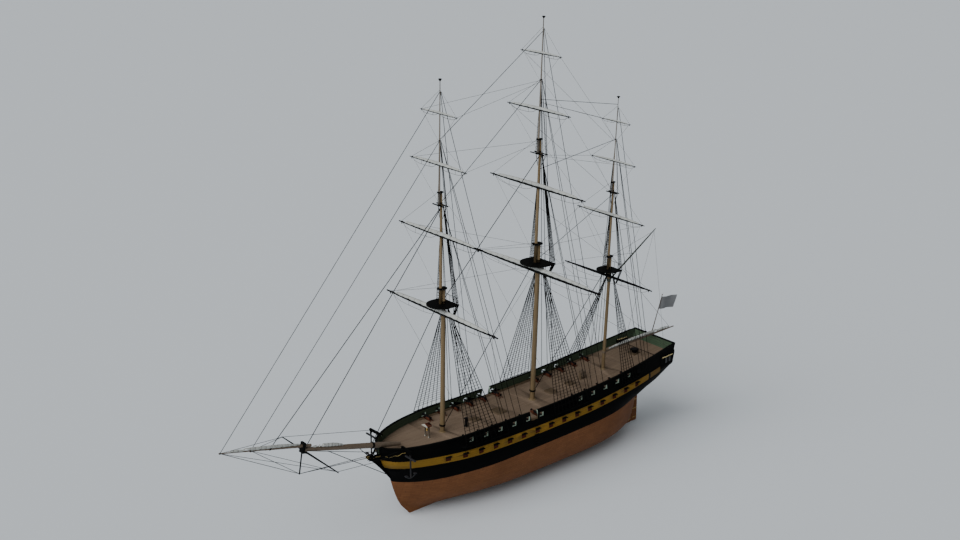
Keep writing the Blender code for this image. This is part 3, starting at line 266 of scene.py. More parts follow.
def hull_side(x, z, default=None):
    """Half-breadth of the hull's outside at a place and height."""
    hit = HULL_TREE.ray_cast(Vector((x, 2.0, z)), Vector((0, -1, 0)))[0]
    return hit.y if hit else default


def skin_side(x, z):
    """Half-breadth of the bulwark at its rail, clear of channels and ports."""
    return hull_side(x, z, 0.3)


def rail_side(x, default=0.3):
    """Half-breadth of the bulwark just under its rail."""
    return hull_side(x, rail(x) - 0.012, default)


def deck_top(x, y):
    """Height of what one stands on, on deck."""
    hit = DECK_TREE.ray_cast(Vector((x, y, 2.0)), Vector((0, 0, -1)))[0]
    return hit.z if hit else deck(x)


def mast_point(name, height, ahead=0.0, aside=0.0):
    """A point at a height on a mast, an offset ahead of the lower mast's axis and to port of it."""
    x, rake, foot = MASTS[name][:3]
    angle = math.radians(rake)
    up = (height - foot) / math.cos(angle)
    return Vector((x - math.sin(angle) * up + math.cos(angle) * ahead, aside,
                   foot + math.cos(angle) * up + math.sin(angle) * ahead))


def steps(name):
    """How far the topmast and the topgallant mast stand ahead of the lower mast."""
    r = MASTS[name].radius
    one = r * 0.72 + r * 0.62 + 0.004
    return one, one + r * 0.62 * 0.70 + r * 0.40 + 0.004


def mast_place(name, height):
    """A point on the axis of whichever spar of a mast stands highest there."""
    cap, top_cap = MASTS[name].cap, MASTS[name].top_cap
    one, two = steps(name)
    return mast_point(name, height, 0.0 if height < cap - 0.05 else one if height < top_cap - 0.05 else two)


def yard_name(mast, yard):
    return "%s_%s_yard" % (mast, yard)


def arm(mast, yard, side, share=0.985):
    """A point along a yard, from its middle to its arm."""
    half = YARDS[(mast, yard)].half
    tips = [v.co for v in FRAME["nodes"][yard_name(mast, yard)].data.vertices if v.co.y > half - 0.01]
    middle = sum(tips, Vector()) / len(tips)
    return Vector((middle.x, side * half * share, middle.z))


# Modelling

def nothing_selected():
    """Leave edit mode and select nothing."""
    if bpy.context.object and bpy.context.object.mode != "OBJECT":
        bpy.ops.object.mode_set(mode="OBJECT")
    bpy.ops.object.select_all(action="DESELECT")


def take(item):
    """Select one piece and make it active."""
    nothing_selected()
    item.select_set(True)
    bpy.context.view_layer.objects.active = item
    return item


@contextmanager
def editing(item):
    """Edit one piece, with all of it selected at first."""
    take(item)
    bpy.ops.object.mode_set(mode="EDIT")
    bpy.ops.mesh.select_all(action="SELECT")
    yield
    bpy.ops.object.mode_set(mode="OBJECT")


def place(item):
    """Put a piece's place, turn and size into its mesh."""
    take(item)
    bpy.ops.object.transform_apply(location=True, rotation=True, scale=True)
    return item


def join(name, items):
    """Join pieces into one."""
    nothing_selected()
    for item in items:
        item.select_set(True)
    bpy.context.view_layer.objects.active = items[0]
    if len(items) > 1:
        bpy.ops.object.join()
    items[0].name = name
    items[0].data.name = name
    return items[0]


def moved(item, matrix):
    """Move a piece's mesh."""
    item.data.transform(matrix)
    if matrix.is_negative:
        item.data.flip_normals()
    return item


def smooth(item, angle=35.0):
    """Shade a piece smooth where its faces meet at less than an angle."""
    take(item)
    bpy.ops.object.shade_smooth_by_angle(angle=math.radians(angle))
    return item


def finish(item, body, slot, *materials, angle=35.0):
    """Give a piece its materials, its shading and the body that it rides on."""
    place(item)
    item.data.materials.clear()
    for material in materials:
        item.data.materials.append(bpy.data.materials[material])
    smooth(item, angle)
    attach(item, body)
    return item


def block(low, high, bevel=0.0015, segments=1):
    """A squared piece of wood with eased edges."""
    nothing_selected()
    middle = [(a + b) / 2 for a, b in zip(low, high)]
    bpy.ops.mesh.primitive_cube_add(size=1.0, location=middle)
    item = bpy.context.object
    item.scale = [b - a for a, b in zip(low, high)]
    place(item)
    with editing(item):
        bpy.ops.mesh.bevel(offset=bevel, segments=segments, affect="EDGES")
    return item


def turned(profile, sides=16, matrix=None):
    """A turned piece through pairs of radius and height, from the bottom up about Z."""
    nothing_selected()
    radius, height = profile[0]
    bpy.ops.mesh.primitive_circle_add(vertices=sides, radius=radius, fill_type="NGON", location=(0, 0, 0))
    item = bpy.context.object
    item.location.z = height
    place(item)
    with editing(item):
        for (old, low), (new, high) in zip(profile, profile[1:]):
            bpy.ops.mesh.extrude_region_move(TRANSFORM_OT_translate={"value": (0, 0, high - low)})
            share = new / old
            bpy.ops.transform.resize(value=(share, share, 1), center_override=(0, 0, high))
        bpy.ops.mesh.select_all(action="SELECT")
        bpy.ops.mesh.normals_make_consistent(inside=False)
    return item if matrix is None else moved(item, matrix)


def ring(radius, inner, wide, ease, sides, matrix):
    """A band about Z with eased edges, put in its place."""
    profile = ((inner, -wide), (radius, ease - wide), (radius, wide - ease), (inner, wide))
    return turned(profile, sides, matrix)


def ball(radius, centre, sides=8, rings=6, stretch=(1, 1, 1)):
    """A small rounded block."""
    nothing_selected()
    bpy.ops.mesh.primitive_uv_sphere_add(segments=sides, ring_count=rings, radius=radius, location=centre)
    item = bpy.context.object
    item.scale = stretch
    return place(item)


def aim(start, end):
    """A matrix that stands a turned piece on one point and points it at another."""
    start, end = Vector(start), Vector(end)
    return Matrix.Translation(start) @ (end - start).to_track_quat("Z", "Y").to_matrix().to_4x4()


def line_piece(name, lines, sides=1):
    """Round bars or ropes as one mesh: pairs of points and radius."""
    curve = bpy.data.curves.new(name, "CURVE")
    curve.dimensions = "3D"
    curve.bevel_depth = 1.0
    curve.bevel_resolution = sides
    curve.use_fill_caps = True
    for points, radius in lines:
        spline = curve.splines.new("POLY")
        spline.points.add(len(points) - 1)
        for target, point in zip(spline.points, points):
            target.co = (*point, 1.0)
            target.radius = radius
    return mesh_of(name, curve)


def band_piece(name, points, height, thickness, tilt=0.0, cyclic=False):
    """A moulding with rounded edges along a line; a tilt of a quarter turn lays it flat."""
    curve = bpy.data.curves.new(name, "CURVE")
    curve.dimensions = "3D"
    curve.twist_mode = "Z_UP"
    curve.bevel_depth = thickness / 2
    curve.extrude = max(0.0, height / 2 - thickness / 2)
    curve.bevel_resolution = 1
    curve.use_fill_caps = True
    spline = curve.splines.new("POLY")
    spline.points.add(len(points) - 1)
    spline.use_cyclic_u = cyclic
    for target, point in zip(spline.points, points):
        target.co = (*point, 1.0)
        target.tilt = tilt
    return mesh_of(name, curve)


def mesh_of(name, curve):
    """Turn a curve into a closed mesh."""
    item = bpy.data.objects.new(name, curve)
    bpy.context.scene.collection.objects.link(item)
    take(item)
    bpy.ops.object.convert(target="MESH")
    item = bpy.context.object
    with editing(item):
        bpy.ops.mesh.remove_doubles(threshold=0.00002)
        bpy.ops.mesh.normals_make_consistent(inside=False)
    return item


def skin(node, name, slot, materials, choose=None, angle=30.0):
    """A merged, smoothly shaded copy of a solid, with a material for each face, that stands for it."""
    source = FRAME["nodes"][node]
    item = bpy.data.objects.new(name, source.data.copy())
    bpy.context.scene.collection.objects.link(item)
    with editing(item):
        bpy.ops.mesh.remove_doubles(threshold=0.00002)
    finish(item, source["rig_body"], slot, *materials, angle=angle)
    if choose:
        for face in item.data.polygons:
            face.material_index = choose(face.center, face.normal)
    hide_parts(node)
    return item


def along_hull(first, last, height, outset, count=60, side=1):
    """Points along the ship's side at a height line, standing off by an outset."""
    points = []
    for k in range(count + 1):
        x = first + (last - first) * k / count
        z = height(x)
        points.append(Vector((x, side * (skin_side(x, z) + outset), z)))
    return points


# Materials

class Web:
    """Adds and joins the nodes of one material or group."""

    def __init__(self, tree):
        self.tree = tree
        self.column = 0

    def add(self, kind, **values):
        """A new node, whose values go to the sockets or the settings of their names."""
        node = self.tree.nodes.new(kind)
        self.column += 190
        node.location = (self.column, 0)
        for name, value in values.items():
            label = name.replace("_", " ")
            if label in node.inputs:
                self.feed(value, node.inputs[label])
            else:
                setattr(node, name, value)
        return node

    def feed(self, value, socket):
        """Link a socket to another, or give it a plain value."""
        if isinstance(value, bpy.types.NodeSocket):
            self.tree.links.new(value, socket)
        else:
            socket.default_value = value

    def math(self, operation, first, second):
        node = self.add("ShaderNodeMath", operation=operation)
        self.feed(first, node.inputs[0])
        self.feed(second, node.inputs[1])
        return node.outputs[0]

    def mix(self, factor, first, second):
        """One colour laid over another by a factor."""
        node = self.add("ShaderNodeMix", data_type="RGBA")
        for number, value in ((0, factor), (6, first), (7, second)):
            self.feed(value, node.inputs[number])
        return node.outputs[2]

    def remap(self, value, low, high, least=0.0, most=1.0):
        """A value spread from one span over another."""
        return self.add("ShaderNodeMapRange", Value=value, From_Min=low, From_Max=high, To_Min=least,
                        To_Max=most).outputs["Result"]

    def scaled(self, vector, scale):
        return self.add("ShaderNodeVectorMath", operation="SCALE", Vector=vector, Scale=scale).outputs[0]


def group(name, inputs, outputs):
    """A new shader node group with named sockets, its web and its entry."""
    tree = bpy.data.node_groups.new(name, "ShaderNodeTree")
    for label, value in inputs.items():
        kind = "Vector" if value is None else "Color" if isinstance(value, tuple) else "Float"
        socket = tree.interface.new_socket(name=label, in_out="INPUT", socket_type="NodeSocket" + kind)
        if value is not None:
            socket.default_value = value
    for label in outputs:
        kind = "Color" if label == "Colour" else "Float"
        tree.interface.new_socket(name=label, in_out="OUTPUT", socket_type="NodeSocket" + kind)
    web = Web(tree)
    return web, web.add("NodeGroupInput").outputs


def build_groups():
    """Node groups for wear, planks, weave and grain that the materials share."""
    web, entry = group("weathering", {"Vector": None, "Colour": GREY, "Worn colour": GREY, "Amount": 0.3,
                                      "Scale": 3.0, "Roughness": 0.5}, ("Colour", "Roughness", "Height"))
    broad = web.add("ShaderNodeTexNoise", Vector=entry["Vector"], Scale=entry["Scale"], Detail=5.0,
                    Roughness=0.62).outputs["Fac"]
    fine = web.add("ShaderNodeTexNoise", Vector=entry["Vector"], Scale=140.0, Detail=3.0).outputs["Fac"]
    mask = web.math("MULTIPLY", web.remap(broad, 0.38, 0.70), entry["Amount"])
    blend = web.mix(mask, entry["Colour"], entry["Worn colour"])
    rough = web.math("ADD", web.math("MULTIPLY", mask, 0.22), entry["Roughness"])
    web.add("NodeGroupOutput", Colour=web.scaled(blend, web.remap(fine, 0.3, 0.7, 0.92, 1.06)),
            Roughness=rough, Height=fine)

    web, entry = group("planking", {"Vector": None, "Colour": GREY, "Seam colour": GREY, "Length": 0.6,
                                    "Width": 0.022, "Seam": 0.02, "Contrast": 0.2}, ("Colour", "Height"))
    bricks = web.add("ShaderNodeTexBrick", Vector=entry["Vector"], Scale=1.0, Brick_Width=entry["Length"],
                     Row_Height=entry["Width"], Mortar_Size=entry["Seam"], Bias=0.0, offset=0.37,
                     offset_frequency=3, squash=1.0, Color1=(1, 1, 1, 1), Color2=(0, 0, 0, 1),
                     Mortar=GREY).outputs
    tone = web.add("ShaderNodeSeparateColor", Color=bricks["Color"]).outputs[0]
    swing = web.math("MULTIPLY", web.math("SUBTRACT", tone, 0.5), entry["Contrast"])
    boards = web.scaled(entry["Colour"], web.math("ADD", swing, 1.0))
    web.add("NodeGroupOutput", Colour=web.mix(bricks["Fac"], boards, entry["Seam colour"]),
            Height=web.math("SUBTRACT", 1.0, bricks["Fac"]))

    web, entry = group("weave", {"Vector": None, "Scale": 400.0}, ("Tone",))
    threads = [web.add("ShaderNodeTexWave", wave_type="BANDS", bands_direction=way, Vector=entry["Vector"],
                       Scale=entry["Scale"], Distortion=0.4).outputs["Fac"] for way in ("X", "Z")]
    web.add("NodeGroupOutput", Tone=web.math("MAXIMUM", *threads))

    web, entry = group("wood_grain", {"Vector": None, "Colour": GREY, "Dark": GREY, "Amount": 0.5},
                       ("Colour", "Height"))
    fibre = web.add("ShaderNodeTexNoise", Vector=entry["Vector"], Scale=1.0, Detail=6.0, Roughness=0.6,
                    Distortion=0.3).outputs["Fac"]
    dark = web.math("MULTIPLY", web.remap(fibre, 0.35, 0.68), entry["Amount"])
    web.add("NodeGroupOutput", Colour=web.mix(dark, entry["Colour"], entry["Dark"]), Height=fibre)


def use_group(web, name, **values):
    """Place a node group in a material, with its own values."""
    return web.add("ShaderNodeGroup", node_tree=bpy.data.node_groups[name], **values).outputs


def material(name, rough=0.5, metallic=0.0, coat=0.0, sheen=0.0, shine=0.1):
    """A new material: its web, its shader and the object coordinates."""
    made = bpy.data.materials.new(name)
    made.use_nodes = True
    web = Web(made.node_tree)
    shader = made.node_tree.nodes["Principled BSDF"]
    shader.location = (1600, 0)
    made.node_tree.nodes["Material Output"].location = (1900, 0)
    for label, value in (("Metallic", metallic), ("Roughness", rough), ("Coat Weight", coat),
                         ("Specular IOR Level", shine), ("Coat Roughness", 0.25), ("Sheen Weight", sheen)):
        shader.inputs[label].default_value = value
    return web, shader, web.add("ShaderNodeTexCoord").outputs["Object"]


def cover(web, shader, colour, rough, height, strength, distance):
    """Feed a shader its colour, its roughness and the height that stands out on it."""
    raised = web.add("ShaderNodeBump", Strength=strength, Distance=distance, Height=height)
    web.feed(colour, shader.inputs["Base Color"])
    web.feed(rough, shader.inputs["Roughness"])
    web.feed(raised.outputs["Normal"], shader.inputs["Normal"])


def swapped(web, vector, axes):
    """Coordinates with their axes in another order, so that planks run the right way."""
    parts = web.add("ShaderNodeSeparateXYZ", Vector=vector).outputs
    return web.add("ShaderNodeCombineXYZ", X=parts[axes[0]], Y=parts[axes[1]], Z=parts[axes[2]]).outputs[0]


def stretched(web, vector, scale):
    return web.add("ShaderNodeMapping", Vector=vector, Scale=scale).outputs["Vector"]


def four(colour, shade=1.0):
    return (colour[0] * shade, colour[1] * shade, colour[2] * shade, 1.0)


def paint(name, colour, rough, worn, amount=0.35, scale=3.0, metallic=0.0, coat=0.0, shine=0.1):
    """A painted or metal surface with broad wear and fine specks."""
    web, shader, vector = material(name, rough, metallic, coat, shine=shine)
    wear = use_group(web, "weathering", Vector=vector, Colour=four(colour), Worn_colour=four(worn),
                     Amount=amount, Scale=scale, Roughness=rough)
    cover(web, shader, wear["Colour"], wear["Roughness"], wear["Height"], 0.25, 0.0006)


def planked(name, colour, seam, rough, axes, length, width, gap, contrast, worn, amount=0.4, grain=None,
            strength=0.4, shine=0.1, panel=False):
    """Planks or plates with seams between them, on paint, wood or copper."""
    web, shader, vector = material(name, rough, shine=shine)
    flat = swapped(web, vector, axes)
    base = four(colour)
    if grain:
        base = use_group(web, "wood_grain", Vector=stretched(web, flat, grain), Colour=base,
                         Dark=four(colour, 0.62), Amount=0.5)["Colour"]
    wear = use_group(web, "weathering", Vector=vector, Colour=base, Worn_colour=four(worn), Amount=amount,
                     Scale=2.2, Roughness=rough)
    boards = use_group(web, "planking", Vector=flat, Colour=wear["Colour"], Seam_colour=four(seam),
                       Length=length, Width=width, Seam=gap, Contrast=contrast)
    colour = quarter_black_and_shaded_panel(web, vector, boards["Colour"]) if panel else boards["Colour"]
    cover(web, shader, colour, wear["Roughness"], boards["Height"], strength, 0.001)


def quarter_black_and_shaded_panel(web, vector, colour):
    """Black from the end of the gun band aft, with one panel in it whose ochre is darkened as painted shade.
    """
    x = web.add("ShaderNodeSeparateXYZ", Vector=vector).outputs["X"]
    aft = web.math("LESS_THAN", x, BAND_END)
    inside = web.math("MULTIPLY", web.math("LESS_THAN", x, QUARTER_PANEL[0]),
                      web.math("GREATER_THAN", x, QUARTER_PANEL[1]))
    black = web.mix(aft, colour, four((0.0022, 0.0022, 0.0022)))
    # The panel's colour is the band's ochre darkened: painted shade.
    return web.mix(inside, black, four((0.110, 0.064, 0.018)))


def spar_wood(name, colour, rough=0.42):
    """Varnished wood whose grain runs up the mast."""
    web, shader, vector = material(name, rough, shine=0.2)
    fibres = use_group(web, "wood_grain", Vector=stretched(web, vector, (46.0, 46.0, 2.2)),
                       Colour=four(colour), Dark=four(colour, 0.55), Amount=0.62)
    wear = use_group(web, "weathering", Vector=vector, Colour=fibres["Colour"],
                     Worn_colour=four(colour, 0.72), Amount=0.45, Scale=5.0, Roughness=rough)
    cover(web, shader, wear["Colour"], wear["Roughness"], fibres["Height"], 0.3, 0.001)


def cloth(name, colour, scale):
    """Woven cloth, darker in broad random patches."""
    web, shader, vector = material(name, 0.9, sheen=0.05, shine=0.05)
    wear = use_group(web, "weathering", Vector=vector, Colour=four(colour), Worn_colour=four(colour, 0.78),
                     Amount=0.6, Scale=7.0, Roughness=0.82)
    threads = use_group(web, "weave", Vector=vector, Scale=scale)["Tone"]
    colour = web.scaled(wear["Colour"], web.remap(threads, 0.0, 1.0, 0.93, 1.04))
    cover(web, shader, colour, wear["Roughness"], threads, 0.25, 0.0005)


def rope(name, colour, scale=95.0):
    """Laid rope, with its strands across the line."""
    web, shader, vector = material(name, 0.9, shine=0.02)
    lay = web.add("ShaderNodeTexWave", wave_type="BANDS", bands_direction="DIAGONAL", Scale=scale,
                  Distortion=0.6, Vector=vector).outputs["Fac"]
    cover(web, shader, web.mix(lay, four(colour, 0.7), four(colour, 1.25)), 0.9, lay, 0.5, 0.0008)


def build_materials():
    """Every finish of the ship."""
    build_groups()
    c = bpy.context.scene.frigate_colours
    side, flat, cross = "XZY", "XYZ", "YZX"
    planked("copper_plates", c.copper, (0.045, 0.020, 0.010), 0.62, side, 0.120, 0.036, 0.0011, 0.17,
            (0.112, 0.047, 0.020), 0.5, strength=0.25)
    planked("black_planks", c.black, (0.001, 0.001, 0.001), 0.5, side, 0.75, 0.030, 0.0010, 0.25,
            (0.0035, 0.0034, 0.0032), shine=0.02)
    planked("ochre_planks", c.ochre, (0.07, 0.036, 0.006), 0.5, side, 0.75, 0.034, 0.0009, 0.06,
            (0.160, 0.082, 0.013), 0.35, shine=0.06, panel=True)
    planked("green_planks", c.green, (0.008, 0.014, 0.008), 0.55, side, 0.6, 0.036, 0.0010, 0.10,
            (0.062, 0.090, 0.058))
    planked("green_boards", (c.green[0] * 1.1, c.green[1] * 1.15, c.green[2] * 1.1), (0.012, 0.02, 0.012),
            0.55, cross, 0.5, 0.036, 0.0010, 0.10, (0.05, 0.075, 0.045))
    planked("deck_boards", c.deck, (0.100, 0.072, 0.050), 0.72, flat, 0.74, 0.0235, 0.0009, 0.14,
            (0.210, 0.155, 0.110), 0.5, (3.0, 70.0, 3.0), 0.2)
    spar_wood("mast_wood", c.spar)
    spar_wood("upper_mast_wood", (0.200, 0.172, 0.140))
    spar_wood("deck_wood", (0.120, 0.084, 0.050), 0.6)
    spar_wood("boom_wood", (0.165, 0.125, 0.090))
    spar_wood("gaff_wood", (0.050, 0.055, 0.044), 0.6)
    paint("spar_black", c.black, 0.6, (0.0050, 0.0048, 0.0045), 0.4, 6.0, shine=0.06)
    paint("carriage_red", c.red, 0.55, (0.060, 0.020, 0.012), 0.5, 12.0)
    paint("jamb_green", (0.30, 0.38, 0.31), 0.6, (0.20, 0.27, 0.21), 0.4, 14.0)
    paint("gun_iron", (0.006, 0.006, 0.007), 0.5, (0.014, 0.011, 0.009), 0.45, 20.0)
    paint("bower_iron", (0.020, 0.022, 0.026), 0.5, (0.040, 0.030, 0.024), 0.5, 18.0)
    paint("white_paint", (0.46, 0.44, 0.39), 0.55, (0.34, 0.32, 0.27), 0.4, 14.0)
    paint("gilding", (0.45, 0.34, 0.12), 0.36, (0.28, 0.19, 0.07), 0.5, 26.0, 0.55)
    paint("bright_gilding", (0.62, 0.52, 0.27), 0.5, (0.38, 0.29, 0.12), 0.5, 40.0)
    paint("bell_brass", (0.40, 0.27, 0.09), 0.3, (0.20, 0.13, 0.05), 0.5, 22.0, 0.9)
    paint("panes", (0.012, 0.015, 0.02), 0.12, (0.03, 0.03, 0.03), 0.3, 18.0, coat=0.6)
    paint("dark_lining", (0.075, 0.016, 0.010), 0.7, (0.035, 0.010, 0.008), 0.6, 14.0)
    cloth("sail_canvas", c.canvas, 420.0)
    cloth("flag_cloth", (0.200, 0.204, 0.210), 260.0)
    rope("tarred_line", (0.0050, 0.0049, 0.0047))
    rope("hemp_rope", (0.050, 0.044, 0.037))
    paint("floor_paper", (0.735, 0.785, 0.83), 0.95, (0.725, 0.775, 0.82), 0.2, 0.2)


# Operators

class FRIGATE_OT_stage(bpy.types.Operator):
    """Set up the camera, the plain floor and soft light"""

    bl_idname = "frigate.stage"
    bl_label = "Stage"

    def execute(self, context):
        setup = context.scene.frigate_stage
        nothing_selected()
        bpy.ops.object.camera_add(location=(13.0821, 14.4748, 9.5035),
                                  rotation=(math.radians(70.884), 0.0, math.radians(139.955)))
        camera = context.object
        camera.data.lens = 50.0
        camera.data.sensor_width = 36.0
        camera.data.clip_end = 400.0
        context.scene.camera = camera
        bpy.ops.mesh.primitive_plane_add(size=300.0, location=(0, 0, setup.floor))
        floor = context.object
        floor.name = "floor"
        floor.data.materials.append(bpy.data.materials["floor_paper"])
        bpy.ops.object.light_add(type="SUN", rotation=(math.radians(50), 0.0, math.radians(101)))
        sun = context.object.data
        sun.energy = setup.key
        sun.angle = math.radians(60)
        world = context.scene.world or bpy.data.worlds.new("studio")
        context.scene.world = world
        world.use_nodes = True
        back = world.node_tree.nodes["Background"]
        back.inputs["Color"].default_value = (0.95, 0.98, 1.0, 1.0)
        back.inputs["Strength"].default_value = setup.fill
        return {"FINISHED"}


def band_surface(x):
    """Half-breadths just under and just above the ports, with their heights."""
    low, high = sheer(x, 2) + 0.004, sheer(x, 3) - 0.004
    return (low, hull_side(x, low, 0.5)), (high, hull_side(x, high, 0.5))


def choose_band(centre, normal):
    """Ochre outside, red linings inside the ports and black on the raised lids."""
    if not any(abs(centre.x - x) < 0.056 for x in GUN_PORTS):
        return 0
    (low, inner), (high, outer) = band_surface(centre.x)
    share = (centre.z - low) / (high - low)
    depth = inner + (outer - inner) * share - abs(centre.y)
    if depth > 0.004:
        return 1
    if depth < -0.0035 or (abs(normal.z) > 0.7 and depth < 0.002 and 0.1 < share < 0.9):
        return 2
    return 0


def choose_bulwark(centre, normal):
    """Black outside, green inside, and pale jambs in the ports."""
    z = deck(centre.x)
    outer = hull_side(centre.x, min(rail(centre.x) - 0.012, z + 0.115), None)
    depth = (outer if outer is not None else abs(centre.y)) - abs(centre.y)
    inward = normal.y * math.copysign(1, centre.y) < -0.3 or (abs(centre.x) > 2.3 and normal.x < -0.3)
    jamb = abs(normal.x) > 0.7 or abs(normal.z) > 0.8
    if centre.z > rail(centre.x) - 0.004:
        return 0
    if 0.004 < depth < 0.040 and z + 0.022 < centre.z < z + 0.10 and jamb:
        return 2
    if inward and depth > 0.010 and centre.z > z - 0.01:
        return 1
    return 0


def choose_deck(centre, normal):
    """Planks underfoot, darker wood on the coamings and varnish on the mast coats."""
    if normal.z > 0.6 and centre.z < deck(centre.x) + 0.004:
        return 0
    if abs(centre.x + 2.54) < 0.09:
        return 1
    for row in MASTS.values():
        if math.hypot(centre.x - row.x, centre.y) < 0.085:
            return 2
    return 1


class FRIGATE_OT_hull(bpy.types.Operator):
    """Copper, paint and plank the hull, deck and bulwarks"""

    bl_idname = "frigate.hull"
    bl_label = "Hull"

    def execute(self, context):
        skin("hull_bottom", "coppered_bottom", "copper_bottom", ["copper_plates"])
        skin("hull_wale", "black_wale", "black_paint", ["black_planks"])
        skin("gun_band", "painted_gun_band", "ochre_paint", ["ochre_planks", "dark_lining", "spar_black"],
             choose_band)
        skin("spar_deck", "planked_deck", "deck_planks", ["deck_boards", "deck_wood", "mast_wood"],
             choose_deck)
        for side in ("port", "starboard"):
            skin("bulwark_" + side, "painted_bulwark_" + side, "black_paint",
                 ["black_planks", "green_planks", "jamb_green"], choose_bulwark)
        skin("transom", "painted_transom", "black_paint", ["black_planks", "green_boards"],
             lambda centre, normal: 1 if normal.x > 0.5 else 0)
        skin("rudder", "coppered_rudder", "copper_bottom", ["copper_plates"])
        return {"FINISHED"}


class FRIGATE_OT_hull_trim(bpy.types.Operator):
    """Add the cap rail, mouldings, lower port lids, port linings and side steps"""

    bl_idname = "frigate.hull_trim"
    bl_label = "Hull trim"

    def execute(self, context):
        for side, word in SIDES:
            self.cap_rail(side, word)
            self.mouldings(side, word)
            self.lids(side, word)
            self.linings(side, word)
            self.steps(side, word)
        return {"FINISHED"}

    def cap_rail(self, side, word):
        parts = []
        for first, last in ((2.80, GANGWAY[1] + 0.004), (GANGWAY[0] - 0.004, -2.93)):
            points = along_hull(first, last, lambda x: rail(x) - 0.008, -0.012, 70, side)
            for point in points:
                point.z += 0.010
            parts.append(band_piece("cap", points, 0.040, 0.008, math.pi / 2))
        finish(join("cap_rail_" + word, parts), "hull", "black_paint", "spar_black")

    def mouldings(self, side, word):
        parts = []
        for first, last, height, tall, thick in (
                (2.76, -2.62, lambda x: sheer(x, 3) + 0.001, 0.010, 0.008),
                (2.76, -2.72, lambda x: sheer(x, 2) - 0.003, 0.009, 0.008)):
            points = along_hull(first, last, height, 0.0015, 80, side)
            parts.append(band_piece("moulding", points, tall, thick))
        finish(join("mouldings_" + word, parts), "hull", "black_paint", "spar_black")

    def lids(self, side, word):
        """The lower half lids, hung down below each port, and their hinges."""
        parts = []
        for x in GUN_PORTS:
            z = (sheer(x, 2) + sheer(x, 3)) / 2 - 0.006
            ahead = hull_side(x + 0.05, sheer(x, 2) + 0.006, 0.5)
            behind = hull_side(x - 0.05, sheer(x, 2) + 0.006, 0.5)
            y = (ahead + behind) / 2
            turn = math.atan2(ahead - behind, 0.1)
            lid = block((-0.040, -0.022, -0.037), (0.040, -0.014, -0.002), 0.0012)
            slit = block((-0.036, -0.0145, -0.0185), (0.036, -0.0125, -0.0165), 0.0004)
            whole = join("lid", [lid, slit])
            matrix = Matrix.Translation((x, y, z)) @ Matrix.Rotation(turn, 4, "Z")
            if side < 0:
                matrix = Matrix.Scale(-1, 4, (0, 1, 0)) @ matrix
            parts.append(moved(whole, matrix))
        finish(join("lower_lids_" + word, parts), "hull", "black_paint", "dark_lining")

    def linings(self, side, word):
        """Pale linings on the after jamb and the sill of each bulwark port."""
        parts = []
        for x in DECK_PORTS:
            z = deck(x) + 0.028
            y = hull_side(x + 0.06, z + 0.03, 0.5) - 0.002
            for aft, ahead, tall, deep in ((-0.0425, -0.0370, 0.066, 0.028), (-0.0370, 0.0425, 0.006, 0.026)):
                near, far = sorted((side * (y - deep), side * y))
                parts.append(block((x + aft, near, z), (x + ahead, far, z + tall), 0.0008))
        finish(join("port_linings_" + word, parts), "hull", "black_paint", "jamb_green")

    def steps(self, side, word):
        parts = []
        x = sum(GANGWAY) / 2
        for k in range(9):
            z = 0.10 + 0.045 * k
            y = hull_side(x, z, 0.6)
            low, high = sorted((side * (y - 0.004), side * (y + 0.012)))
            parts.append(block((x - 0.045, low, z), (x + 0.045, high, z + 0.009)))
        finish(join("side_steps_" + word, parts), "hull", "black_paint", "spar_black")


def choose_gun(centre, normal):
    """The waterway stays wood, the slides red and the barrels iron."""
    z = centre.z - deck(centre.x)
    if z > 0.040:
        return 2
    if z < 0.0105:
        return 0
    return 1


class FRIGATE_OT_guns(bpy.types.Operator):
    """Fit the carronades on their slides behind the bulwark ports"""

    bl_idname = "frigate.guns"
    bl_label = "Carronades"

    def execute(self, context):
        for side, word in SIDES:
            skin("carronades_" + word, "waterway_" + word, "guns", ["deck_wood", "carriage_red", "gun_iron"],
                 choose_gun)
            self.fittings(side, word)
        return {"FINISHED"}

    def fittings(self, side, word):
        """Barrel rings, breech knobs, chocks and trucks on every gun."""
        iron, wood = [], []
        for x in DECK_PORTS:
            inner = hull_side(x + 0.07, rail(x) - 0.012, 0.55) - BULWARK - 0.004
            z = deck(x)
            for distance, radius in ((0.150, 0.0205), (0.085, 0.0185), (0.020, 0.0160)):
                spot = Matrix.Translation((x, side * (inner - distance), z + 0.0555))
                iron.append(ring(radius, radius * 0.8, 0.004, 0.001, 12, spot @ TURN_TO_Y))
            iron.append(ball(0.007, (x, side * (inner - 0.166), z + 0.0555), 8, 6, (1, 1.3, 1)))
            for dx in (-0.022, 0.022):
                low, high = sorted((side * (inner - 0.145), side * (inner - 0.070)))
                wood.append(block((x + dx - 0.0045, low, z + 0.022), (x + dx + 0.0045, high, z + 0.058)))
            for dx in (-0.024, 0.024):
                spot = Matrix.Translation((x + dx, side * (inner - 0.165), z + 0.012))
                wood.append(ring(0.010, 0.006, 0.004, 0.001, 10, spot @ TURN_TO_X))
        finish(join("gun_irons_" + word, iron), "hull", "guns", "gun_iron")
        finish(join("gun_cheeks_" + word, wood), "hull", "guns", "carriage_red")


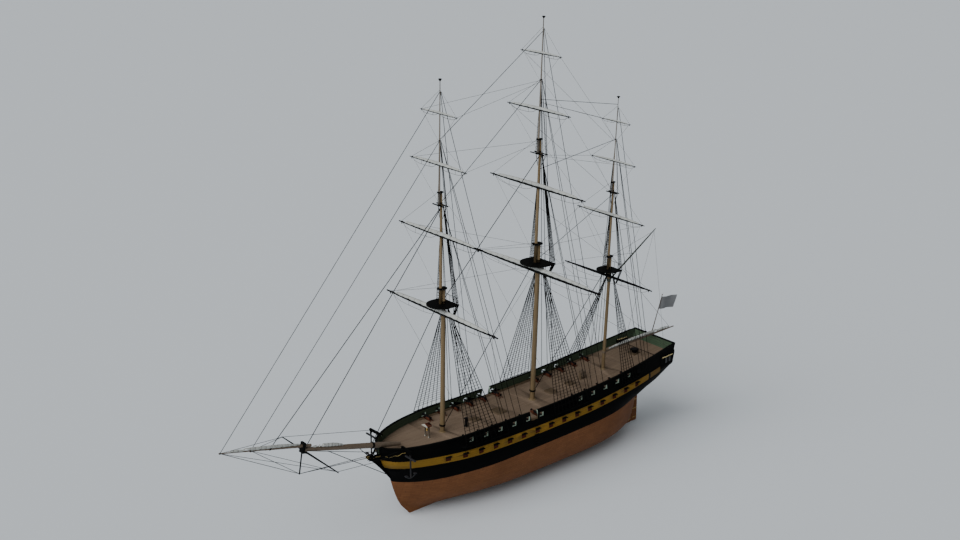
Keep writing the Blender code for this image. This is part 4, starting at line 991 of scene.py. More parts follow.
class FRIGATE_OT_deck_gear(bpy.types.Operator):
    """Fit gratings, galley pipe, belfry, wheel, capstan and flag locker"""

    bl_idname = "frigate.deck_gear"
    bl_label = "Deck gear"

    def execute(self, context):
        self.gratings()
        self.galley_pipe()
        self.belfry()
        self.wheel()
        self.locker()
        return {"FINISHED"}

    def gratings(self):
        """Bars along and across each hatch."""
        edge, half, tall, pitch = 0.0006, 0.0022, 0.003, 0.011

        def spread(reach):
            count = int(reach * 2 / pitch)
            return [-reach + 0.003 + (2 * reach - 0.006) * k / count for k in range(count + 1)]

        bars = []
        for x, length, width in HATCHES:
            z = deck(x) + 0.016
            long_half, wide_half = length / 2 - 0.013, width / 2 - 0.013
            for y in spread(wide_half):
                bars.append(block((x - long_half, y - half, z), (x + long_half, y + half, z + tall), edge))
            z += edge
            for dx in spread(long_half):
                bars.append(block((x + dx - half, -wide_half, z), (x + dx + half, wide_half, z + tall), edge))
        finish(join("hatch_gratings", bars), "hull", "varnished_wood", "deck_wood")

    def galley_pipe(self):
        x, y = 1.27, 0.09
        z = deck_top(x, y)
        base = block((x - 0.026, y - 0.026, z - 0.002), (x + 0.026, y + 0.026, z + 0.012), 0.002)
        pipe = block((x - 0.017, y - 0.017, z + 0.010), (x + 0.017, y + 0.017, z + 0.128), 0.003, 2)
        hood = block((x - 0.024, y - 0.022, z + 0.122), (x + 0.030, y + 0.022, z + 0.146), 0.004, 2)
        finish(join("galley_pipe", [base, pipe, hood]), "hull", "black_paint", "gun_iron")

    def belfry(self):
        x = 1.96
        floor = deck(x)

        def choose(centre, normal):
            if centre.z - floor > 0.183:
                return 1 if normal.x > 0.5 or normal.z < -0.5 else 0
            return 3 if abs(centre.y) < 0.030 else 2

        skin("belfry", "painted_belfry", "varnished_wood",
             ["carriage_red", "white_paint", "white_paint", "bell_brass"], choose)
        trim = [block((x + start, -0.068, floor + 0.183), (x + start + 0.006, 0.068, floor + 0.200), 0.001)
                for start in (0.044, -0.050)]
        for side in (1, -1):
            low, high = sorted((side * 0.036, side * 0.054))
            trim.append(block((x - 0.012, low, floor - 0.002), (x + 0.012, high, floor + 0.020), 0.002))
        finish(join("belfry_trim", trim), "hull", "varnished_wood", "white_paint")

    def wheel(self):
        skin("wheel_stand", "wheel_posts", "varnished_wood", ["deck_wood"])
        skin("helm_wheel", "steering_wheel", "varnished_wood", ["boom_wood"])
        skin("capstan", "painted_capstan", "black_paint", ["spar_black", "gun_iron"],
             lambda centre, normal: 1 if normal.z > 0.9 and centre.z > deck(-2.54) + 0.081 else 0)

    def locker(self):
        """The flag locker against the starboard bulwark, with its row of pale slots."""
        first, last, middle = -2.83, -2.59, -2.69
        y = -(rail_side(middle, 0.45) - BULWARK) + 0.026
        z = deck(middle) + 0.012
        narrowing = rail_side(first, 0.44) - rail_side(last, 0.46)
        turn = math.atan2(narrowing, first - last)
        parts = [block((-0.12, -0.024, 0), (0.12, 0.024, 0.055), 0.002)]
        slots = []
        for k in range(8):
            x = -0.110 + 0.028 * k
            slots.append(block((x, 0.0225, 0.022), (x + 0.020, 0.0255, 0.042), 0.0008))
            slots.append(block((x, -0.016, 0.0545), (x + 0.020, 0.016, 0.0575), 0.0008))
        matrix = Matrix.Translation(((first + last) / 2, y, z)) @ Matrix.Rotation(-turn, 4, "Z")
        legs = [block((x - 0.006, -0.016, -0.014), (x + 0.006, 0.016, 0.002), 0.001) for x in (-0.07, 0.07)]
        box = moved(join("flag_locker", parts + legs), matrix)
        finish(box, "hull", "black_paint", "spar_black")
        finish(moved(join("locker_slots", slots), matrix), "hull", "black_paint", "bright_gilding")


class FRIGATE_OT_head(bpy.types.Operator):
    """Fit the scroll and head rails at the bow"""

    bl_idname = "frigate.head"
    bl_label = "Head"

    def execute(self, context):
        skin("stem_knee", "painted_knee", "black_paint", ["black_planks"])
        gilt = []
        for side in (1, -1):
            spiral = []
            for k in range(26):
                angle = math.radians(-60 + 26 * k)
                radius = 0.026 * (1 - k / 30)
                spiral.append((3.062 + radius * math.cos(angle), side * 0.0165,
                               0.530 + radius * math.sin(angle)))
            gilt.append((spiral, 0.0032))
            trail = []
            for k in range(40):
                share = k / 39
                x = 3.035 - 0.42 * share
                lift = 0.508 + 0.085 * share - 0.045 * math.sin(math.pi * share)
                ripple = 0.0085 * math.sin(share * 30)
                y = 0.0175 + 0.04 * share
                if x < 2.84:
                    y = max(0.0175, hull_side(x, lift + ripple, 0.0) + 0.003)
                trail.append((x, side * y, lift + ripple))
            gilt.append((trail, 0.0034))
        finish(line_piece("gilded_scroll", gilt), "hull", "black_paint", "gilding")
        rails = []
        for side in (1, -1):
            for low, high, bow in ((0.520, 0.610, 0.045), (0.470, 0.560, 0.030)):
                points = []
                for k in range(17):
                    share = k / 16
                    x = 3.055 - 0.35 * share
                    end = hull_side(2.705, high, 0.24)
                    y = 0.016 + (end - 0.012) * share ** 1.4
                    z = low + (high - low) * share - bow * math.sin(math.pi * share)
                    points.append((x, side * y, z))
                rails.append((points, 0.006))
            for k in range(3):
                share = 0.30 + 0.2 * k
                x = 3.055 - 0.35 * share
                y = 0.016 + 0.215 * share ** 1.4
                top = 0.520 + 0.09 * share - 0.045 * math.sin(math.pi * share)
                low = 0.470 + 0.09 * share - 0.030 * math.sin(math.pi * share)
                foot = (x - 0.01, side * 0.012, low - 0.05)
                rails.append((((x, side * y, top), (x, side * y, low), foot), 0.0045))
        finish(line_piece("head_rails", rails), "hull", "black_paint", "spar_black")
        return {"FINISHED"}


class FRIGATE_OT_stern(bpy.types.Operator):
    """Fit the stern and quarter windows, mouldings and rudder irons"""

    bl_idname = "frigate.stern"
    bl_label = "Stern"

    def execute(self, context):
        skin("stern_gallery", "painted_gallery", "black_paint", ["black_planks"])
        tree = solid_tree("stern_gallery", "transom")
        frames, panes, gilt, black, quarter = [], [], [], [], []
        for k in range(-2, 3):
            y = k * 0.150
            self.window(tree, Vector((-4, y, 0.640)), Vector((1, 0, 0)), 0.072, 0.090, frames, panes)
        for side in (1, -1):
            for x in (-2.78, -2.88):
                self.window(tree, Vector((x, side * 2, 0.640)), Vector((0, -side, 0)), 0.050, 0.085, quarter,
                            panes)
        finish(join("window_frames", frames), "hull", "black_paint", "gilding")
        finish(join("quarter_window_frames", quarter), "hull", "black_paint", "spar_black")
        finish(join("window_panes", panes), "hull", "black_paint", "panes")
        for z, radius in ((0.725, 0.0045), (0.560, 0.0040)):
            black.append((self.around(tree, z, 0.0035), radius))
        for side in (1, -1):
            streak = [p for p in self.around(tree, 0.712, 0.0065) if p.y * side > 0 and -2.965 < p.x < -2.66]
            for k, point in enumerate(streak):
                point.z += 0.003 * math.sin(k * 1.3)
            gilt.append((streak, 0.0085))
        finish(line_piece("quarter_scrolls", gilt), "hull", "black_paint", "bright_gilding")
        finish(line_piece("stern_mouldings", black), "hull", "black_paint", "spar_black")
        self.taffrail()
        self.rudder_irons()
        return {"FINISHED"}

    def around(self, tree, z, outset):
        """Points round the quarter and the stern at a height."""
        points = []
        for k in range(81):
            angle = math.radians(-112 + 224 * k / 80)
            out = Vector((-math.cos(angle), math.sin(angle), 0))
            centre = Vector((-2.62, 0, z))
            hit = tree.ray_cast(centre + out * 1.5, -out)
            if hit[0] is not None and hit[0].x < -2.64:
                points.append(hit[0] + hit[1].normalized() * outset)
        return points

    def window(self, tree, start, way, width, height, frames, panes):
        """One sash window, with its frame, bars and glass, laid on the stern."""
        hit = tree.ray_cast(start, way)
        if hit[0] is None:
            raise RuntimeError("the window has no wall at %s" % start)
        up = Vector((0, 0, 1))
        out = hit[1].normalized()
        if out.dot(way) > 0:
            out = -out
        across = up.cross(out).normalized()
        rise = out.cross(across)
        matrix = Matrix((across, rise, out)).transposed().to_4x4()
        matrix.translation = hit[0]
        w, h = width / 2, height / 2
        panes.append(moved(block((-w, -h, -0.002), (w, h, 0.0015), 0.0008), matrix))
        edge = 0.006
        for low, high in (((-w - edge, -h - edge), (-w, h + edge)), ((w, -h - edge), (w + edge, h + edge)),
                          ((-w, -h - edge), (w, -h)), ((-w, h), (w, h + edge)),
                          ((-0.0015, -h), (0.0015, h)), ((-w, -0.0015), (w, 0.0015)),
                          ((-w, h / 2 - 0.001), (w, h / 2 + 0.001)),
                          ((-w, -h / 2 - 0.001), (w, -h / 2 + 0.001))):
            frames.append(moved(block((*low, -0.002), (*high, 0.0035), 0.0006), matrix))

    def taffrail(self):
        points = [(-3.026, -0.445 + 0.89 * k / 16, rail(-2.93) + 0.006) for k in range(17)]
        board = band_piece("taffrail", points, 0.040, 0.008, math.pi / 2)
        finish(board, "hull", "black_paint", "spar_black")

    def rudder_irons(self):
        """Straps across the rudder, and their braces on the sternpost."""
        low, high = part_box("rudder")
        straps, braces = [], []
        tree = solid_tree("rudder")
        for k in range(4):
            z = low.z + 0.07 + (high.z - low.z - 0.14) * k / 3
            for side in (1, -1):
                hits = []
                for n in range(12):
                    x = high.x - 0.052 - 0.10 * n / 11
                    hit = tree.ray_cast(Vector((x, side * 1.0, z)), Vector((0, -side, 0)))[0]
                    if hit:
                        hits.append(Vector((x, hit.y + side * 0.0012, z)))
                if len(hits) > 2:
                    straps.append(band_piece("strap", hits, 0.012, 0.003))
                points = []
                for n in range(6):
                    x = high.x + 0.004 + 0.10 * n / 5
                    y = hull_side(x, z)
                    if y is not None:
                        points.append(Vector((x, side * (y + 0.0012), z)))
                if len(points) > 2:
                    braces.append(band_piece("brace", points, 0.012, 0.003))
        finish(join("rudder_straps", straps), "rudder", "copper_bottom", "bell_brass")
        finish(join("rudder_braces", braces), "hull", "copper_bottom", "bell_brass")


class FRIGATE_OT_masts(bpy.types.Operator):
    """Varnish the masts, blacken caps and tops, and fit rigging eyes, trucks and top rails"""

    bl_idname = "frigate.masts"
    bl_label = "Masts"

    def execute(self, context):
        eyes, rails, trucks = [], [], []
        for name, row in MASTS.items():
            top, trees, truck, r, stay = row.top, row.trees, row.truck, row.radius, row.stay
            one, two = steps(name)
            skin(name + "_lower_mast", name + "_lower_mast_wood", "varnished_wood", ["mast_wood"])
            skin(name + "_top", name + "_top_platform", "black_paint", ["spar_black"])
            self.pole(name, "topmast", one, r * 0.62 * 1.03, "mast_wood")
            self.pole(name, "topgallant_mast", two, r * 0.40 * 1.03, "upper_mast_wood")
            for k in range(3):
                eyes.append(self.hoop(name, top + 0.006 + 0.012 * k, r * 0.70 + 0.009, 0.0, 0.0065))
                eyes.append(self.hoop(name, trees + 0.018 + 0.009 * k, r * 0.62 * 0.70 + 0.006, one, 0.004))
                eyes.append(self.hoop(name, stay - 0.006 + 0.007 * k, r * 0.40 * 0.80 + 0.004, two, 0.003))
            tip = mast_point(name, truck, two)
            button = ((0.006, -0.012), (0.022, -0.009), (0.028, -0.004), (0.028, 0.001), (0.018, 0.006),
                      (0.004, 0.008))
            trucks.append(turned(button, 14, aim(tip, mast_point(name, truck + 0.1, two))))
            rails.extend(self.top_rail(name, top, row.half))
        finish(join("rigging_eyes", eyes), "hull", "tarred_rope", "tarred_line")
        finish(join("mast_trucks", trucks), "hull", "black_paint", "spar_black")
        finish(line_piece("top_rails", rails), "hull", "black_paint", "spar_black")
        for node in ("bowsprit", "jib_boom"):
            skin(node, node + "_wood", "varnished_wood", ["boom_wood"])
        skin("bowsprit_cap", "bowsprit_cap_and_yard", "black_paint", ["spar_black"])
        skin("spanker_boom", "spanker_boom_wood", "varnished_wood", ["boom_wood"])
        skin("gaff", "gaff_spar", "varnished_wood", ["gaff_wood"])
        for name in ("fore_stay", "main_stay", "mizzen_stay"):
            skin(name, name + "_rope", "tarred_rope", ["tarred_line"])
        return {"FINISHED"}

    def pole(self, name, kind, offset, radius, wood):
        """A spar with its black cap and crosstrees."""
        foot = MASTS[name].foot
        axis = mast_point(name, foot + 1.0, offset) - mast_point(name, foot, offset)
        axis.normalize()
        start = mast_point(name, foot, offset)
        truck = MASTS[name].truck

        def choose(centre, normal):
            gap = centre - start
            far = (gap - axis * gap.dot(axis)).length
            if kind == "topgallant_mast" and centre.z > truck - 0.032:
                return 1
            return 1 if far > radius or (abs(normal.z) > 0.8 and far > radius * 0.3) else 0

        node = "%s_%s" % (name, kind)
        skin(node, node + "_wood", "varnished_wood", [wood, "spar_black"], choose)

    def hoop(self, name, z, radius, offset, height):
        low = mast_point(name, z, offset)
        profile = ((radius * 0.93, 0.0), (radius, 0.001), (radius, height - 0.001), (radius * 0.93, height))
        return turned(profile, 16, aim(low, mast_point(name, z + 0.1, offset)))

    def top_rail(self, name, top, half):
        """The rail with its stanchions across the after side of a top."""
        x = -half * 0.56
        lines = [([mast_point(name, top + 0.10, x, side * half * 0.86) for side in (1, -1)], 0.0035)]
        for k in range(5):
            y = half * 0.86 * (1 - k / 2)
            lines.append(((mast_point(name, top - 0.004, x, y), mast_point(name, top + 0.10, x, y)), 0.0026))
        return lines


def sail_form(name, centres, uprights, sizes, seats, gaskets, seed, body, node=None, sides=18, drape=None):
    """A furled sail: a soft roll along centres, pinched by its gaskets, with folds along its length."""
    chance = random.Random(seed)
    count = len(centres)
    nothing_selected()
    bpy.ops.mesh.primitive_grid_add(x_subdivisions=count - 1, y_subdivisions=sides, size=1.0)
    item = bpy.context.object
    mesh = item.data
    order = sorted(mesh.vertices, key=lambda v: (round(v.co.x, 5), v.co.y))
    phase = [chance.uniform(0, 6.28) for _ in range(5)]
    rows = sides + 1
    for number, vertex in enumerate(order):
        k, around = divmod(number, rows)
        share = k / (count - 1)
        angle = 2 * math.pi * around / sides
        tall, wide = sizes[k]
        pinch = min(abs(share - g) for g in gaskets) if gaskets else 1.0
        squeeze = 1.0 - 0.20 * math.exp(-(pinch * (count - 1) / 1.1) ** 2)
        fold = 1.0 + 0.050 * math.sin(3 * angle + phase[0] + 5 * share) + 0.035 * math.sin(
            7 * angle + phase[1] + 17 * share) + 0.040 * math.sin(41 * share + phase[2] + 2 * angle)
        up = uprights[k]
        along_way = (centres[min(count - 1, k + 1)] - centres[max(0, k - 1)]).normalized()
        across = up.cross(along_way).normalized()
        height = tall * 0.5 * (1 + math.sin(angle) * fold * squeeze)
        side = wide * math.cos(angle) * fold * squeeze * (1.0 - 0.22 * math.sin(angle))
        if drape and math.cos(angle) * across.x > 0 and math.sin(angle) < 0.45:
            share_down = min(1.0, (0.45 - math.sin(angle)) / 1.2)
            height -= drape[k] * share_down * max(0.0, math.cos(angle) * across.x)
            side += across.x * drape[k] * 0.42 * share_down
        vertex.co = centres[k] + up * (seats[k] + height) + across * side
    with editing(item):
        bpy.ops.mesh.remove_doubles(threshold=0.00001)
        bpy.ops.mesh.select_all(action="DESELECT")
        bpy.ops.mesh.select_non_manifold()
        bpy.ops.mesh.edge_face_add()
        bpy.ops.mesh.select_all(action="SELECT")
        bpy.ops.mesh.normals_make_consistent(inside=False)
    item.name = name
    finish(item, body, "canvas", "sail_canvas", angle=60.0)
    if node:
        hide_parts(node)
    return item


class FRIGATE_OT_yards(bpy.types.Operator):
    """Blacken the yards, furl the sails on them and hang the footropes"""

    bl_idname = "frigate.yards"
    bl_label = "Yards and sails"

    def execute(self, context):
        sizes = context.scene.frigate_rig
        for seed, ((mast, yard), row) in enumerate(YARDS.items()):
            half, radius, sail_half = row.half, row.radius, row.sail_half
            body = yard_name(mast, yard)
            middle = arm(mast, yard, 1, 0.0)
            skin(body, body + "_spar", "black_spars", ["spar_black", "sail_canvas"],
                 lambda centre, normal, z=middle.z, r=radius: 1 if centre.z > z + r * 1.02 else 0)
            ropes = self.footropes(middle, half, radius, sizes)
            if sail_half:
                ropes += self.furl(mast, yard, body, middle, seed, sizes)
            finish(line_piece(body + "_lashings", ropes, 0), body, "tarred_rope", "hemp_rope")
            self.arm_irons(mast, yard, body, half, radius)
        return {"FINISHED"}

    def yard_radius(self, distance, half, radius):
        return radius * (1.0 - 0.58 * min(1.0, distance / half) ** 2.2)

    def furl(self, mast, yard, body, middle, seed, sizes):
        _, half, radius, sail_half, sail_height = YARDS[(mast, yard)]
        count = 61
        number = max(7, int(sizes.gaskets * sail_half / 1.22))
        gaskets = [(k + 0.5) / number for k in range(number)]
        centres, uprights, forms, seats, drape = [], [], [], [], []
        for k in range(count):
            y = -sail_half + 2 * sail_half * k / (count - 1)
            share = abs(y) / sail_half
            end = min(1.0, (1.0 - share) * 16 + 0.30)
            tall = sail_height * (1.0 - 0.45 * share ** 1.6) * end * 1.04
            seat = self.yard_radius(abs(y), half, radius)
            centres.append(Vector((middle.x, y, middle.z)))
            uprights.append(Vector((0, 0, 1)))
            forms.append((tall, 0.50 * tall + 0.34 * seat))
            seats.append(seat - 0.0035)
            drape.append(seat * 0.45 * min(1.0, (1.0 - share) * 8))
        node = "%s_%s_furled" % (mast, yard)
        sail_form("%s_%s_sail" % (mast, yard), centres, uprights, forms, seats, gaskets, seed, body,
                  node if node in FRAME["nodes"] else None, 18, drape)
        lines = []
        for share in gaskets:
            k = share * (count - 1)
            tall, wide = forms[int(k)]
            seat = seats[int(k)]
            y = -sail_half + 2 * sail_half * share
            r = self.yard_radius(abs(y), half, radius)
            points = []
            for step in range(15):
                angle = 2 * math.pi * step / 14 - math.pi / 2
                up, out = math.sin(angle), math.cos(angle)
                if up > 0:
                    points.append((middle.x + out * (wide * 0.86 + 0.001), y + 0.002 * out,
                                   middle.z + seat + tall * 0.45 + up * tall * 0.47))
                else:
                    front = 0.42 * drape[int(k)] if out > 0 else 0.0
                    points.append((middle.x + out * (max(r, wide * 0.8) + front), y + 0.002 * out,
                                   middle.z + up * (r + 0.001)))
            lines.append((points, 0.0012))
        return lines

    def footropes(self, middle, half, radius, sizes):
        """Ropes slung below a yard, on short stirrups."""
        lines = []
        thick = sizes.running / 2
        for side in (1, -1):
            drop = min(0.085, half * 0.09)
            points = []
            for k in range(13):
                share = k / 12
                y = side * half * (0.06 + 0.86 * share)
                sag = drop * (1 - (2 * share - 1) ** 4)
                points.append((middle.x - radius * 0.5, y, middle.z - radius * 0.6 - sag))
            lines.append((points, thick))
            for share in (0.3, 0.62):
                y = side * half * (0.06 + 0.86 * share)
                sag = drop * (1 - (2 * share - 1) ** 4)
                lines.append((((middle.x - radius * 0.5, y, middle.z - radius * 0.5),
                               (middle.x - radius * 0.5, y, middle.z - radius * 0.6 - sag)), thick))
        return lines

    def arm_irons(self, mast, yard, body, half, radius):
        """Bands and blocks at the ends of a yard."""
        parts = []
        for side in (1, -1):
            point = arm(mast, yard, side, 0.93)
            r = self.yard_radius(half * 0.93, half, radius)
            parts.append(ring(r * 1.25, r * 0.9, 0.004, 0.001, 10, Matrix.Translation(point) @ TURN_TO_Y))
            size = 0.006 + radius * 0.25
            parts.append(ball(size, point + Vector((0, 0, -r - size)), 8, 6, (0.6, 0.8, 1.2)))
            parts.append(ball(size, point + Vector((-r - size * 0.6, 0, 0)), 8, 6, (1.1, 0.8, 0.8)))
        finish(join(body + "_irons", parts), body, "black_spars", "spar_black")


class FRIGATE_OT_fore_and_aft(bpy.types.Operator):
    """Furl the head sails and the spanker"""

    bl_idname = "frigate.fore_and_aft"
    bl_label = "Head sails and spanker"

    def execute(self, context):
        self.roll("fore_staysail_furled", "furled_fore_staysail", "hull", 31, 9, 0.0012, "hemp_rope")
        self.roll("jib_furled", "furled_jib", "hull", 32, 13, 0.0012, "hemp_rope")
        self.roll("spanker_furled", "furled_spanker", "spanker_boom", 33, 19, 0.0026, "tarred_line")
        return {"FINISHED"}

    def roll(self, node, name, body, seed, lashings, thick, stuff):
        """A soft roll along a solid, read from slices across it."""
        points = [v.co.copy() for v in FRAME["nodes"][node].data.vertices]
        start = max(points, key=lambda p: p.x)
        end = min(points, key=lambda p: p.x)
        way = Vector((start.x - end.x, 0, start.z - end.z)).normalized()
        low = min(p.dot(way) for p in points)
        high = max(p.dot(way) for p in points)
        rings = {}
        for p in points:
            rings.setdefault(round(p.dot(way), 2), []).append(p)
        stations = sorted(rings)
        up = Vector((-way.z, 0, way.x))

        def slice_at(d):
            after = next((s for s in stations if s >= d - 0.0001), stations[-1])
            before = next((s for s in reversed(stations) if s <= d + 0.0001), stations[0])
            share = 0.0 if after == before else (d - before) / (after - before)
            both = []
            for station in (before, after):
                ring = rings[station]
                ups = [p.dot(up) for p in ring]
                ys = [p.y for p in ring]
                both.append((min(ups), max(ups), min(ys), max(ys)))
            return [a + (b - a) * share for a, b in zip(*both)]

        count = 61
        centres, uprights, forms, seats = [], [], [], []
        for k in range(count):
            d = low + (high - low) * k / (count - 1)
            bottom, top, y0, y1 = slice_at(d)
            centres.append(way * d + up * bottom + Vector((0, (y0 + y1) / 2, 0)))
            uprights.append(up)
            forms.append(((top - bottom) * 1.02, (y1 - y0) / 2 * 1.02))
            seats.append(-0.0005)
        gaskets = [(k + 0.5) / lashings for k in range(lashings)]
        sail_form(name, centres, uprights, forms, seats, gaskets, seed, body, node, 16)
        lines = []
        for share in gaskets:
            k = int(share * (count - 1))
            tall, wide = forms[k]
            centre = centres[k] + up * tall / 2
            reach = tall / 2 * 0.86 + 0.0012
            side = wide * 0.86 + 0.0012
            lines.append(([centre + up * reach * math.sin(a) + Vector((0, side * math.cos(a), 0))
                           for a in (2 * math.pi * s / 12 for s in range(13))], thick))
        finish(line_piece(name + "_gaskets", lines, 0), body, "tarred_rope", stuff)


def deadeye(point, way, size):
    """A round block with a waist for its strop, facing out."""
    matrix = Matrix.Translation(point) @ Vector(way).to_track_quat("Z", "Y").to_matrix().to_4x4()
    return turned(((size * 0.7, -size * 0.45), (size, -size * 0.2), (size * 0.94, 0.0), (size, size * 0.2),
                   (size * 0.7, size * 0.45)), 10, matrix)


class FRIGATE_OT_shrouds(bpy.types.Operator):
    """Set up the shrouds with their deadeyes, ratlines and futtock shrouds"""

    bl_idname = "frigate.shrouds"
    bl_label = "Shrouds and ratlines"

    def execute(self, context):
        sizes = context.scene.frigate_rig
        for name in MASTS:
            shrouds, ratlines, eyes, plates = [], [], [], []
            for side in (1, -1):
                self.lower(name, side, sizes, shrouds, ratlines, eyes, plates)
                self.upper(name, side, sizes, shrouds, ratlines, eyes)
            finish(line_piece(name + "_shrouds", shrouds, 1), "hull", "tarred_rope", "tarred_line")
            finish(line_piece(name + "_ratlines", ratlines, 0), "hull", "tarred_rope", "tarred_line")
            finish(line_piece(name + "_chain_plates", plates, 0), "hull", "black_paint", "spar_black")
            finish(join(name + "_deadeyes", eyes), "hull", "black_paint", "spar_black")
        return {"FINISHED"}

    def rungs(self, ropes, low, high, sizes, ratlines):
        """Ratlines across a fan of shrouds between two heights."""
        z = low
        while z < high:
            points = []
            for foot, head in ropes:
                share = (z - foot.z) / (head.z - foot.z)
                points.append(foot.lerp(head, share))
            ratlines.append((points, sizes.ratline / 2))
            z += sizes.pitch

    def lower(self, name, side, sizes, shrouds, ratlines, eyes, plates):
        first, last, count, backs = SHROUD_FEET[name]
        top, r = MASTS[name].top, MASTS[name].radius
        ropes = []
        for k in range(count):
            x = first + (last - first) * k / (count - 1)
            z = deck(x) + 0.022
            y = rail_side(x) + 0.098
            if name == "mizzen":
                y -= 0.006
            foot = Vector((x, side * y, z + 0.010))
            ahead = -r * 0.9 - 0.006 + 0.010 * (k % 2)
            head = mast_point(name, top - 0.036, ahead, side * (r * 0.9 + 0.012))
            way = (head - foot).normalized()
            self.pair(foot, way, shrouds, eyes, plates, side)
            ropes.append((foot + way * 0.080, head))
            shrouds.append(((foot + way * 0.080, head), sizes.shroud / 2))
        self.rungs(ropes, rail(first) + 0.05, top - 0.30, sizes, ratlines)
        self.sheer_pole(ropes, sizes, shrouds)
        self.backstays(name, side, backs, sizes, shrouds, eyes, plates)

    def sheer_pole(self, ropes, sizes, shrouds):
        points = [foot.lerp(head, 0.004) for foot, head in ropes]
        shrouds.append((points, sizes.shroud / 2))

    def pair(self, foot, way, shrouds, eyes, plates, side):
        """Two deadeyes with their lanyards, and the chain plate below."""
        out = Vector((0, side, 0))
        size = 0.0115
        upper = foot + way * 0.062
        eyes.append(deadeye(foot + way * 0.010, out, size))
        eyes.append(deadeye(upper, out, size))
        for shift in (-0.006, 0.0, 0.006):
            dx = Vector((shift, 0, 0))
            shrouds.append(((foot + way * 0.012 + dx, upper + dx), 0.0011))
        z = foot.z - 0.115
        y = hull_side(foot.x, z, abs(foot.y)) + 0.003
        plates.append(((foot, Vector((foot.x, foot.y - side * 0.002, foot.z - 0.018)),
                        Vector((foot.x, side * y, z))), 0.0030))

    def backstays(self, name, side, feet, sizes, shrouds, eyes, plates):
        mast = MASTS[name]
        one, two = steps(name)
        lowest, middle, highest = ((mast.trees - 0.012, one, 0.020), (mast.stay, two, 0.010),
                                   (mast.truck - 0.18, two, 0.006))
        heads = [lowest] * (len(feet) - 3) + [middle, middle, highest]
        for x, (z, ahead, aside) in zip(feet, heads):
            y = rail_side(x) + (0.094 if x in feet[:2] and name != "mizzen" else 0.020)
            low = rail(x) - 0.09
            foot = Vector((x, side * (y + 0.010), low))
            head = mast_point(name, z, ahead - 0.014, side * aside)
            way = (head - foot).normalized()
            eyes.append(deadeye(foot + way * 0.010, (0, side, 0), 0.009))
            eyes.append(deadeye(foot + way * 0.052, (0, side, 0), 0.009))
            shrouds.append(((foot, foot + way * 0.052), 0.0016))
            shrouds.append(((foot + way * 0.052, head), sizes.shroud * 0.42))
            edge = hull_side(x, low - 0.06, y)
            plates.append(((foot, Vector((x, side * (edge + 0.002), low - 0.06))), 0.0026))

    def upper(self, name, side, sizes, shrouds, ratlines, eyes):
        """Topmast and topgallant shrouds, with the futtock shrouds below the top."""
        mast = MASTS[name]
        top, trees, r, half, stay = mast.top, mast.trees, mast.radius, mast.half, mast.stay
        one, two = steps(name)
        count = UPPER_SHROUDS[name]
        pole = r * 0.62
        ropes = []
        for k in range(count):
            share = k / (count - 1)
            low = mast_point(name, top + 0.004, -half * (0.16 + 0.41 * share), side * half * 0.955)
            head = mast_point(name, trees - 0.016, one - pole - 0.002 * k, side * (pole * 0.55 + 0.005))
            way = (head - low).normalized()
            eyes.append(deadeye(low + way * 0.008, (0, side, 0), 0.008))
            eyes.append(deadeye(low + way * 0.040, (0, side, 0), 0.008))
            shrouds.append(((low, low + way * 0.040), 0.0018))
            shrouds.append(((low + way * 0.040, head), sizes.shroud * 0.42))
            ropes.append((low + way * 0.045, head))
            knee = mast_point(name, top - 0.24, -r * 1.9 - 0.010 * k, side * (r + 0.070))
            under = mast_point(name, top - TOP_LIP, -half * (0.30 + 0.27 * share) - 0.01, side * half * 0.90)
            shrouds.append(((under, knee), sizes.shroud * 0.40))
        self.rungs(ropes, top + 0.10, trees - 0.14, sizes, ratlines)
        arm_half = half * 0.62
        tops = []
        for reach in (0.80, 0.66):
            low = mast_point(name, trees - 0.010, one - r * 0.56, side * arm_half * reach)
            head = mast_point(name, stay - 0.01, two - 0.014, side * 0.009)
            shrouds.append(((low, head), sizes.shroud * 0.32))
            tops.append((low, head))
            knee = mast_point(name, trees - 0.20, one, side * (pole + 0.012))
            shrouds.append(((low, knee), sizes.shroud * 0.30))
        self.rungs(tops, trees + 0.08, stay - 0.16, sizes, ratlines)


